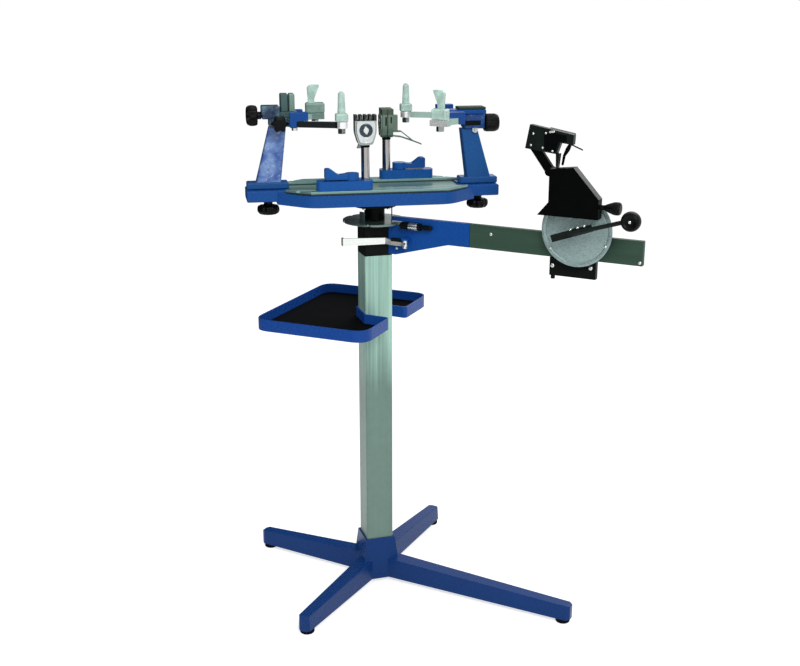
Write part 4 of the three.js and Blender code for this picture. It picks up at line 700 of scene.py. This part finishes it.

# The towers: a base block on the bed's end and a leaning post, cast. The right one is plain enamel.
# The left one has a rippled gloss, with painted reflection and painted glints: paler patches and
# bright specks in its colour.


def rippled(name, shade, pale, fleck=0.55, gloss=0.5):
    """Enamel over a rolling skin: broad paler areas as painted reflection, small bright specks as painted
    glints, and waves.
    """
    material, look, shader = opened(name)
    rolling = look.noise(42.0, 3.0)
    reflection_patch_mask = look.sharpened(rolling, 0.4, 0.68)
    glint_mask = look.sharpened(look.noise(170.0, 3.0), 0.58, 0.7)
    tone = look.mix(reflection_patch_mask, shade, pale)
    # Painted glints: small bright specks mixed into the tone over the painted reflection.
    glint_painted_tone = look.mix(glint_mask * fleck, tone, colour(196, 204, 232))
    relief = (rolling, 0.5, 0.004)
    coated(look, shader, glint_painted_tone, rolling * 0.2 + 0.12, relief, {"Specular IOR Level": gloss})
    return material


tower_blue = enamel("tower_enamel", colour(33, 83, 143))
tower_base_height = 0.0148
tower_divide = float(loose("left_tower")[0][:, 2].min()) + tower_base_height
dressed("right_tower", tower_blue, 0.0012, 3)
dressed("left_tower", tower_blue, 0.0012, 3, lambda c, n: c.z < tower_divide)
# The left post's paler patches and bright specks are painted reflection and painted glints.
left_reflection_enamel = rippled("left_tower_enamel", colour(50, 88, 160), colour(120, 152, 202))
dressed("left_tower", left_reflection_enamel, 0.0012, 3, lambda c, n: c.z >= tower_divide, "_post")

# The lock knobs below the bed are moulded in black plastic with a scalloped rim, and are wider than
# they are high. The bolt of each goes up into its tower's base.


def lobed(radius, lobes, depth):
    """The radius times 1 - depth + depth * cos(lobes * turn), which swells into round lobes."""
    return lambda turn: radius * (1 - depth + depth * np.cos(lobes * turn))


def hand_knob(radius, height, lobes, depth, rounding, crown):
    """A moulded knob whose lobes fade out towards its eased rims, with a slightly crowned face."""
    rows = eased([
        (0, 0), (radius * 0.9, 0), (radius, height * 0.3), (radius, height * 0.72),
        (radius * 0.82, height), (radius * 0.4, height + crown), (0, height + crown),
    ], rounding, 5)
    return turned([(lobed(r, lobes, depth * min(r / radius, 1) ** 2), h) for r, h in rows], 96)


black_plastic = grained("black_plastic", colour(6, 7, 7), 0.38, 0.16, 1500.0, 0.1, 0.25)


def moulded(node, forms):
    """A knob's forms in black plastic, in place of its CAD node."""
    built(node + "_moulded", forms, black_plastic, node, [node])


lock_radius = 0.024
lock_height = 0.019
for end in ends:
    node = end + "_lock_knob"
    low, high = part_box(node)
    spot = joints[node + "_turn"]["pos_m"]
    base = low.z + lock_height
    neck_rows = eased([
        (0, base - 0.001), (0.0095, base - 0.001), (0.0095, spot[2] - 0.0003),
        (0.0047, spot[2] - 0.0003), (0.0047, high.z), (0, high.z),
    ], 0.0008)
    lock_round = hand_knob(lock_radius, lock_height, 12, 0.05, 0.006, 0.001)
    moulded(node, [
        stood(lock_round, (spot[0], spot[1], base), (0, 0, -1)),
        stood(turned(neck_rows, 36), (spot[0], spot[1], 0)),
    ])

# The yokes on the towers carry the side arms and the supports. The right one has a slot with a nut
# below it on its front face, and a thin black plate stands in the slot as painted shade.
# Both yokes take the rippled enamel: their paler patches and faint specks are painted reflection and painted
# glints.
right_yoke_reflection_enamel = rippled("right_yoke_reflection_enamel", colour(20, 56, 116), colour(48, 92, 150), 0.1, 0.3)
left_yoke_reflection_enamel = rippled("left_yoke_reflection_enamel", colour(22, 46, 76), colour(92, 128, 144), 0.1, 0.4)
dressed("right_yoke", right_yoke_reflection_enamel, 0.001)
dressed("left_yoke", left_yoke_reflection_enamel, 0.001, 2)
side_screw = Vector(joints["right_side_knob_turn"]["pos_m"])
slot_shade_low, slot_shade_high = side_screw.z - 0.0145, side_screw.z - 0.0045
slot_shade_corners = [at("right", u, v, 0)[:2] for u, v in (
    (0.1965, -0.0208), (0.2315, -0.0208), (0.2315, -0.019), (0.1965, -0.019),
)]
# A black plate just proud of the face: the shade in the slot, painted.
built("yoke_slot_shade", [slab(slot_shade_corners, slot_shade_low, slot_shade_high)], black_coat, "right_tower")
facing_front = -across["right"]
tower_nut_place = at("right", 0.2195, -0.0135, side_screw.z - 0.0245)
zinc_piece("tower_nut", [
    stood(form, tower_nut_place, facing_front) for form in (hex_nut(0.012, 0.006), threaded(0.003, 0.009))
], "right_tower")

# The head support on the right is blue with a dark rubber pad on top. The throat support on the
# left is an alloy block with two uprights, the outer upright darker than the inner one and the body.
yoke_blue = enamel("yoke_enamel", colour(26, 72, 140))
dressed("head_support", yoke_blue, 0.0012)
dressed("head_pad", grained("pad_rubber", colour(34, 54, 50), 0.6, 0.4, 800.0), 0.0012, 3)


def upright_metal(name, shade, roughness, metal, along=6):
    """Metal brushed a little along its height."""
    return brushed(name, colour(*shade), stretch=(1, 1, along), roughness=roughness, metal=metal)


throat_dark = upright_metal("throat_alloy", (66, 92, 92), 0.4, 0.4, 8)
throat_pale = upright_metal("throat_pale", (112, 142, 132), 0.4, 0.4, 8)
throat_split = 0.1838


def from_axis(place, direction):
    """How far a place lies from the column's axis along a direction."""
    return float((np.array(place) - column_axis) @ np.array(direction))


def inner_upright(centre, normal):
    """The upright nearest the racket, with the body below it."""
    return from_axis(centre, outward["left"]) < throat_split


dressed("throat_support", throat_pale, 0.0012, 2, inner_upright)
dressed("throat_support", throat_dark, 0.0012, 2, lambda c, n: not inner_upright(c, n), "_outer")

# The knobs of the supports: a six-lobed star on the left end, a ribbed barrel on the right end, and
# a star on the side of each yoke that draws its two arms in or out.
star_lobes = 6


def star_knob(radius, thickness, hub, screw):
    """A star with its hub and screw. Its own +Z runs outwards from the face it stands on."""
    points, faces = hand_knob(radius, thickness, star_lobes, 0.13, 0.005, 0.001)
    stem = eased([
        (0, -screw), (0.0032, -screw), (0.004, 0.001 - screw), (0.004, 0), (0.008, 0),
        (0.008, hub + 0.003), (0, hub + 0.003),
    ], 0.0008)
    return [(points + np.array([0, 0, hub]), faces), turned(stem, 36)]


def knob_piece(node, forms, axis):
    """A knob's forms on its joint, their +Z along the axis, in black plastic."""
    spot = joints[node + "_turn"]["pos_m"]
    placed = [stood(form, spot, axis) for form in forms]
    moulded(node, placed)


def reach_from(node, direction):
    """How far a knob's node reaches in front of its joint and behind it, along a direction."""
    along = (loose(node)[0] - np.array(joints[node + "_turn"]["pos_m"])) @ np.array(direction)
    return float(along.max()), float(-along.min())


front, behind = reach_from("left_end_knob", outward["left"])
end_hub, side_thickness = 0.008, 0.015
knob_piece("left_end_knob", star_knob(0.0235, front - end_hub, end_hub, behind), outward["left"])
front, behind = reach_from("right_end_knob", outward["right"])
barrel_rows = eased([
    (0, 0.002), (0.0165, 0.002), (0.0195, 0.006), (0.0195, front - 0.009), (0.0165, front - 0.001),
    (0.008, front), (0, front),
], 0.003, 5)
barrel = turned([(knurled(r, 32, 0.0006) if r > 0.0185 else r, h) for r, h in barrel_rows], 128)
stem_rows = eased([
    (0, -behind), (0.004, -behind), (0.004, 0), (0.008, 0), (0.008, 0.004), (0, 0.004),
], 0.0006)
knob_piece("right_end_knob", [barrel, turned(stem_rows, 36)], outward["right"])
for end in ends:
    front, behind = reach_from(end + "_side_knob", across[end])
    star = star_knob(0.0187, side_thickness, front - side_thickness, behind)
    knob_piece(end + "_side_knob", star, across[end])

# The side arms: each has a blue root block in front of the yoke, a bar on edge in satin alloy, and
# an end for the pad's bolt. The left long arm's bar is painted dark as shade, the ends are painted near
# white as highlight, and the left short arm's end is a darker green as painted shade. A small nut
# closes the left long arm's root from below.
arm_alloy = brushed(
    "arm_alloy", colour(160, 186, 176), stretch=(14, 14, 1), roughness=0.24, metal=0.8, contrast=0.14,
)
# The dark bar is painted shade, the near-white ends a painted highlight, the green end painted shade.
arm_painted_shade = brushed(
    "arm_painted_shade", colour(12, 20, 22), stretch=(14, 14, 1), roughness=0.3, metal=0.6, contrast=0.3,
)
arm_painted_highlight = brushed(
    "arm_painted_highlight", colour(246, 252, 250), stretch=(4, 4, 1), roughness=0.26, metal=0.6, contrast=0.08,
    scale=260.0,
)
arm_shaded_green = brushed(
    "arm_shaded_green", colour(112, 140, 130), stretch=(4, 4, 1), roughness=0.3, metal=0.4, contrast=0.16,
    scale=260.0,
)
root_start = 0.1475
root_inner, root_outer = 0.0475, 0.0665
block_end = 0.009


def at_root(end, side):
    """A test of whether a face belongs to the arm's root."""

    def test(centre, normal):
        """Beyond the sleeve's start, beside the yoke."""
        along = from_axis(centre, outward[end])
        aside = side * from_axis(centre, across[end])
        return along > root_start and root_inner < aside < root_outer
    return test


for end in ends:
    for name, side in (("long", 1), ("short", -1)):
        node = f"{end}_{name}_arm"
        root = at_root(end, side)
        pad = f"{end}_{'post' if side > 0 else 'leaf'}_pad_swivel"
        tip = from_axis(joints[pad]["pos_m"], outward[end]) + block_end

        def bar(centre, normal, root=root, tip=tip, end=end):
            """The arm between its root and the block at its tip."""
            return not root(centre, normal) and from_axis(centre, outward[end]) > tip

        bar_metal = arm_painted_shade if node == "left_long_arm" else arm_alloy
        tip_metal = arm_shaded_green if node == "left_short_arm" else arm_painted_highlight
        dressed(node, yoke_blue, 0.0008, 2, root, "_root")
        dressed(node, bar_metal, 0.0008, 2, bar)
        dressed(node, tip_metal, 0.0008, 2,
                lambda c, n, root=root, bar=bar: not (root(c, n) or bar(c, n)), "_tip")
arm_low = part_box("left_long_arm")[0].z
zinc_piece("root_nut", [
    stood(hex_nut(0.011, 0.006), at("left", 0.176, 0.057, arm_low), (0, 0, -1)),
], "left_long_arm")

# The pads are pale green moulded nylon, a little translucent, each on a steel bolt with a nut below
# the arm. The post pads stand straight, and the leaf pads lean away from the racket. The left leaf
# pad's block is a darker copy of the nylon, as painted shade.


def nylon(name, shade):
    """Cloudy moulded nylon: a soft drift of tone, a little light through it, and a smooth skin."""
    material, look, shader = opened(name)
    cloud = look.noise(60.0, 3.0)
    tone = look.mix(look.sharpened(cloud, 0.3, 0.7), shaded(shade, 0.72), shaded(shade, 1.12))
    relief = (look.noise(240.0, 2.0), 0.15, 0.0006)
    fixed = {"Subsurface Weight": 0.3, "Subsurface Radius": (0.9, 1.0, 0.9), "Subsurface Scale": 0.005}
    coated(look, shader, tone, cloud * 0.12 + 0.2, relief, fixed)
    return material


pale_nylon = nylon("pale_nylon", colour(184, 214, 203))
# Painted shade: a darker copy of the nylon for the left leaf pad's block.
shaded_nylon = nylon("shaded_nylon", colour(134, 164, 154))
pad_blocks = {"post_pad": 0.0173, "leaf_pad": 0.0223}
bolt_steel = upright_metal("bolt_steel", (150, 156, 158), 0.22, 1.0, 8)
for end in ends:
    for pad in ("post_pad", "leaf_pad"):
        node = f"{end}_{pad}"
        arm_top = joints[node + "_swivel"]["pos_m"][2]
        block_top, bolt_top = arm_top + pad_blocks[pad], arm_top + 0.0001
        block_nylon = shaded_nylon if node == "left_leaf_pad" else pale_nylon
        dressed(node, pale_nylon, 0.0009, 3, lambda c, n: c.z > block_top)
        dressed(node, block_nylon, 0.0009, 3, lambda c, n: bolt_top < c.z <= block_top, "_block")
        dressed(node, bolt_steel, 0.0006, 2, lambda c, n: c.z <= bolt_top, "_bolt")

# The string clamps: an enamelled base on the rail, a cam lever with a raised thumb end, a chrome
# post with a black band at its top as the head's painted shadow, and a head of two toothed plates,
# the moving one with its squeeze lever.
# The head's face has a cover, a ring round a slotted screw, and a small boss below.
clamp_blue = enamel("clamp_enamel", colour(27, 85, 158))
chrome = brushed(
    "chrome", colour(176, 174, 172), stretch=(1, 1, 40), roughness=0.08, metal=1.0, contrast=0.05,
)
cover_alloys = {
    "front": upright_metal("front_cover_alloy", (206, 212, 210), 0.3, 0.8),
    "rear": upright_metal("rear_cover_alloy", (128, 144, 134), 0.36, 0.5),
}
head_alloys = {
    "front": upright_metal("front_head_alloy", (158, 168, 165), 0.32, 0.8),
    "rear": upright_metal("rear_head_alloy", (98, 118, 104), 0.4, 0.5),
}
painted_shade_black = grained("painted_shade_black", colour(6, 8, 8), 0.5, 0.2, 700.0, 0.04, 0.2)
tooth_metals = {
    "front": upright_metal("tooth_steel", (34, 40, 40), 0.4, 0.5),
    "rear": upright_metal("olive_steel", (66, 80, 68), 0.4, 0.5),
}
ring_steel = brushed("ring_steel", colour(58, 68, 80), stretch=(1, 1, 1), roughness=0.25, metal=0.8)
tooth_depth = 0.012
cap_radius = 0.0145
cap_height = 0.003
cover_thickness = 0.0027
cover_top, cover_half = 0.0187, 0.0203
cover_waist, cover_foot, cover_end = -0.005, 0.0126, -0.0282
cover = eased([
    (0, cover_top), (-cover_half, cover_top), (-cover_half, cover_waist), (-cover_foot, cover_end),
    (cover_foot, cover_end), (cover_half, cover_waist), (cover_half, cover_top), (0, cover_top),
], 0.006, 5)[:-1]
boss_inner, boss_outer, boss_height, boss_rise = 0.0042, 0.0064, 0.0012, 0.0102
boss = eased([(boss_inner, 0), (boss_outer, 0), (boss_outer, boss_height), (boss_inner, boss_height)], 0.0005)
screw_rows = eased([(0, 0), (0.0058, 0), (0.0058, 0.0011), (0, 0.0016)], 0.0008)


def slot_bar(length, width, height):
    """A flat bar with round ends that stands on a face, drawn as a ring of corners."""
    turn = np.linspace(0, 2 * np.pi, 24, endpoint=False)
    stretch = (length - width) / 2
    plan = np.stack([np.cos(turn) * width / 2, np.sin(turn) * width / 2 + np.sign(np.sin(turn)) * stretch], 1)
    return slab(plan, 0, height, width * 0.2)


for clamp in ("rear", "front"):
    dressed(clamp + "_clamp_base", clamp_blue, 0.0014, 3)
    dressed(clamp + "_cam_lever", clamp_blue, 0.0016, 3)
    dressed(clamp + "_clamp_post", chrome, 0.0005, 2)
    facing = np.cross((0, 0, 1), joints[clamp + "_jaw_open"]["axis"])
    post = np.array(joints[clamp + "_post_turn"]["pos_m"])
    low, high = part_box(clamp + "_clamp_head")
    shoulder = high.z - tooth_depth
    plate_face = float(((loose(clamp + "_clamp_head")[0] - post) @ facing).max()) - cap_height
    divide = ((0, 0, shoulder), (0, 0, 1))

    def in_cap(centre, facing=facing, post=post, plate_face=plate_face):
        """Whether a face lies in front of the plate's own face."""
        return float((np.array(centre) - post) @ facing) > plate_face + 0.0002

    body, alloy = clamp + "_post", head_alloys[clamp]
    head = clamp + "_clamp_head"
    dressed(head, alloy, 0.0007, 2, lambda c, n: c.z < shoulder and not in_cap(c), cut=divide)
    teeth = tooth_metals[clamp]
    dressed(head, teeth, 0.0005, 2, lambda c, n: c.z >= shoulder, "_teeth", divide)
    dressed(head, ring_steel, 0.0007, 2, lambda c, n: in_cap(c), "_cap", divide)
    jaw = clamp + "_clamp_jaw"
    dressed(jaw, head_alloys["rear"], 0.0005, 2, lambda c, n: c.z < shoulder, cut=divide)
    dressed(jaw, teeth, 0.0005, 2, lambda c, n: c.z >= shoulder, "_teeth", divide)
    middle = post + facing * (plate_face + cap_height)
    middle[2] = (low.z + high.z) / 2
    ring = stood(collar(cap_radius * 0.72, cap_radius * 0.2, 0.0012), middle - facing * 0.0002, facing)
    built(clamp + "_cap_ring", [ring], ring_steel, body)
    zinc_piece(clamp + "_cap_slot", [
        stood(turned(screw_rows, 36), middle, facing),
        stood(slot_bar(0.0185, 0.0062, 0.0012), middle, facing, 0.12),
    ], body)
    cover_centre = middle - facing * 0.0032
    built(clamp + "_head_cover", [stood(slab(cover, 0, cover_thickness, 0.0012), cover_centre, facing)],
          cover_alloys[clamp], body)
    boss_centre = cover_centre + facing * 0.0025
    boss_centre[2] = low.z + boss_rise
    built(clamp + "_head_boss", [stood(turned([*boss, boss[0]], 48), boss_centre, facing)],
          cover_alloys[clamp], body)
    post_radius = (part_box(clamp + "_clamp_post")[1].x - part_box(clamp + "_clamp_post")[0].x) / 2
    # A black band round the post's top: the painted shadow of the head above it.
    shadow_band_place = (post[0], post[1], low.z - 0.0052)
    built(clamp + "_post_neck", [stood(collar(post_radius - 0.0002, 0.0009, 0.005), shadow_band_place)],
          painted_shade_black, body)

# The rear clamp's head is two alloy plates, and a slit runs down both flanks of each. The shade in a
# slit is painted: a thin black bar here, which stands just proud of the flank.
rear_facing = np.cross((0, 0, 1), joints["rear_jaw_open"]["axis"])
rear_aside = np.cross((0, 0, 1), rear_facing)
rear_axis = np.array(joints["rear_post_turn"]["pos_m"])
flank = float(((loose("rear_clamp_head")[0] - rear_axis) @ rear_aside).max())
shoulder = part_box("rear_clamp_head")[1].z - tooth_depth
for node, body, ahead, drop, size, width in (
    ("rear_head_slits", "rear_post", 0.004, 0.014, 0.02, 0.0036),
    ("rear_jaw_slits", "rear_jaw", -0.0072, 0.0115, 0.0145, 0.0032),
):
    slit_shades = []
    for side in (1, -1):
        middle = rear_axis + rear_aside * side * (flank - 0.003) + rear_facing * ahead
        middle[2] = shoulder - drop
        # Painted shade: a black bar in place of the dark inside of the slit.
        slit_shades.append(stood(slot_bar(size, width, 0.0033), middle, rear_aside * side))
    built(node, slit_shades, painted_shade_black, body)

# The tension head runs on the rail: a black carriage, and a black cover folded from sheet over the
# wheel, whose upward slope takes a paler copy of the coat as painted sheen. Two round screws show on
# the carriage's front.
cover_coat = grained("cover_coat", colour(5, 6, 6), 0.4, 0.14, 600.0, 0.03, 0.25)
# Painted sheen: the same black coat made paler for the faces that look up.
slope_sheen_coat = grained("slope_sheen_coat", colour(26, 36, 32), 0.4, 0.14, 600.0, 0.3, 0.25)
dressed("carriage", black_coat)


def sloped(centre, normal):
    """The faces of the cover that look up and outwards."""
    return normal.z > 0.3 and normal.x > 0.2 and centre.x > crank_axis.x - 0.01


dressed("tension_cover", cover_coat, 0.0012, 3, lambda c, n: not sloped(c, n))
dressed("tension_cover", slope_sheen_coat, 0.0012, 3, sloped, "_slope")
carriage_spots = [(-0.0534, -0.0797, 0.0046), (0.0281, -0.0768, 0.0046)]
front_screws("carriage_screws", "tension_head", rail_front, 0.0026, carriage_spots)

# The wheel is turned from satin alloy, with a raised rim and a finely speckled face. It sits on the
# crank's shaft, and three small screws are set in its face.
wheel_low, wheel_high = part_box("drum_wheel")
wheel_radius = (wheel_high.z - wheel_low.z) / 2
thick = wheel_high.y - wheel_low.y
shaft_room = 0.0063
rim_width = 0.008
rim = wheel_radius - rim_width


def speckled(name, shade):
    """Blasted alloy: fine grit and coarser specks, light and dark, over a slow drift."""
    material, look, shader = opened(name)
    grit = look.sharpened(look.noise(420.0, 4.0), 0.34, 0.66)
    drift = look.noise(16.0, 2.0)
    tone = look.mix(grit * 0.7 + drift * 0.3, shaded(shade, 0.68), shaded(shade, 1.3))
    coated(look, shader, tone, grit * 0.2 + 0.34, (grit, 0.2, 0.0002), {"Metallic": 0.5})
    return material


wheel_rows = eased([
    (shaft_room, 0), (wheel_radius - 0.001, 0), (wheel_radius, 0.001), (wheel_radius, thick - 0.0008),
    (wheel_radius - 0.0008, thick), (rim + 0.001, thick), (rim, thick - 0.0011),
    (rim - 0.0016, thick - 0.0011), (rim - 0.0024, thick - 0.0003), (0.016, thick - 0.0003),
    (0.015, thick), (shaft_room, thick),
], 0.0004, 2)
wheel_centre = (crank_axis.x, wheel_high.y, crank_axis.z)
wheel_form = stood(turned([*wheel_rows, wheel_rows[0]], 128), wheel_centre, (0, -1, 0))
built("drum_wheel_turned", [wheel_form], speckled("wheel_alloy", colour(140, 162, 161)), "crank",
      ["drum_wheel"])
screw_circle = 0.067
screw_sink = 0.0005
wheel_spots = [
    (screw_circle * math.cos(turn), screw_circle * math.sin(turn), 0.0028)
    for turn in np.radians([217, 337, 97])
]
front_screws("wheel_screws", "crank", wheel_low.y + screw_sink, 0.0016, wheel_spots)

# The crank is a flat black bar with screws over the shaft and a round rod to the knob, which turns
# on its own pin and has a dished face with a bright screw.
dressed("crank_arm", grained("crank_coat", colour(18, 27, 24), 0.36, 0.2, 700.0, 0.12, 0.4), 0.0007)
bar_reach = 0.0526
bar_spots = [(-0.002, 0.0075, 0.003), (0.0128, 0.0128, 0.003), (0.0262, 0.0172, 0.003)]
front_screws("crank_screws", "crank", joints["crank_turn"]["pos_m"][1] - bar_reach, 0.0022, bar_spots)
ball_low, ball_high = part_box("crank_knob")
ball = (ball_high.z - ball_low.z) / 2
depth = ball_high.y - ball_low.y
dish = depth * 0.88
ball_rows = eased([
    (0, 0), (ball * 0.5, 0), (ball * 0.9, depth * 0.16), (ball, depth * 0.5), (ball * 0.92, depth * 0.86),
    (ball * 0.74, depth), (ball * 0.62, depth * 0.97), (ball * 0.5, dish), (0, dish),
], 0.005, 6)
knob_middle = ((ball_low.x + ball_high.x) / 2, ball_high.y, (ball_low.z + ball_high.z) / 2)
ball_form = stood(turned(ball_rows, 72), knob_middle, (0, -1, 0))
moulded("crank_knob", [ball_form])
screw_place = (knob_middle[0], ball_high.y - dish, knob_middle[2])
zinc_piece("crank_knob_screw", [stood(round_screw(0.0034, 0.0024), screw_place, (0, -1, 0))], "crank_knob")

# The tension-setting knob is a tapered moulding in black plastic with a knurled end. Its slim neck
# turns in the side wall of the cover.
taper_low, taper_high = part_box("tension_knob")
taper = (taper_high.z - taper_low.z) / 2
length = taper_high.x - taper_low.x
taper_rows = eased([
    (0, 0), (0.005, 0), (0.005, 0.020), (0.0072, 0.0235), (taper * 0.9, length - 0.017),
    (taper, length - 0.012), (taper, length - 0.003), (taper * 0.8, length), (0, length),
], 0.003, 4)
taper_form = turned([(knurled(r, 28, 0.0005) if r > taper * 0.93 else r, h) for r, h in taper_rows], 112)
taper_start = (taper_low.x, (taper_low.y + taper_high.y) / 2, (taper_low.z + taper_high.z) / 2)
moulded("tension_knob", [stood(taper_form, taper_start, (1, 0, 0))])

# The gripper: a flat arm up to the fixed jaw plate, the moving jaw beside it with its curved link,
# bright screws, a short bright spacer between the jaws, and a thin dark plate on the jaw plate's
# face. All of it is coated black but the screws and the spacer.
gripper_coat = grained("gripper_coat", colour(15, 24, 20), 0.38, 0.2, 700.0, 0.14, 0.4)
jaw_coat = grained("jaw_coat", colour(5, 6, 7), 0.4, 0.2, 700.0, 0.04, 0.25)
dressed("gripper_arm", jaw_coat)
dressed("gripper_head", gripper_coat, 0.0008)
dressed("gripper_jaw", jaw_coat, 0.0006, 2)
plate_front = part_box("gripper_head")[0].y
gripper_spots = [(along, up, 0.0026) for along, up in (
    (-0.1000, 0.1870), (-0.1045, 0.1640), (-0.0792, 0.1600), (-0.0735, 0.1894), (-0.0584, 0.1545),
)]
front_screws("gripper_screws", "gripper", plate_front, 0.002, gripper_spots)
dark_corners = [
    (-0.0775, 0.1935), (-0.0755, 0.1555), (-0.0525, 0.1525), (-0.046, 0.1745), (-0.03, 0.1725),
    (-0.03, 0.1865),
]
plan = np.array([(crank_axis.x + x, -(crank_axis.z + z)) for x, z in dark_corners])
points, faces = slab(plan, 0, 0.0012, 0.0004)
window = np.stack([points[:, 0], plate_front - points[:, 2] + 0.0002, -points[:, 1]], 1)
built("gripper_window", [(window, faces)], jaw_coat, "gripper")
spacer_rows = eased([(0, 0), (0.0022, 0), (0.0022, 0.012), (0, 0.012)], 0.0008)
spacer_place = (crank_axis.x - 0.0655, plate_front - 0.0024, crank_axis.z + 0.192)
zinc_piece("gripper_spacer", [stood(turned(spacer_rows, 24), spacer_place, (1, 0, 0.14))], "gripper")
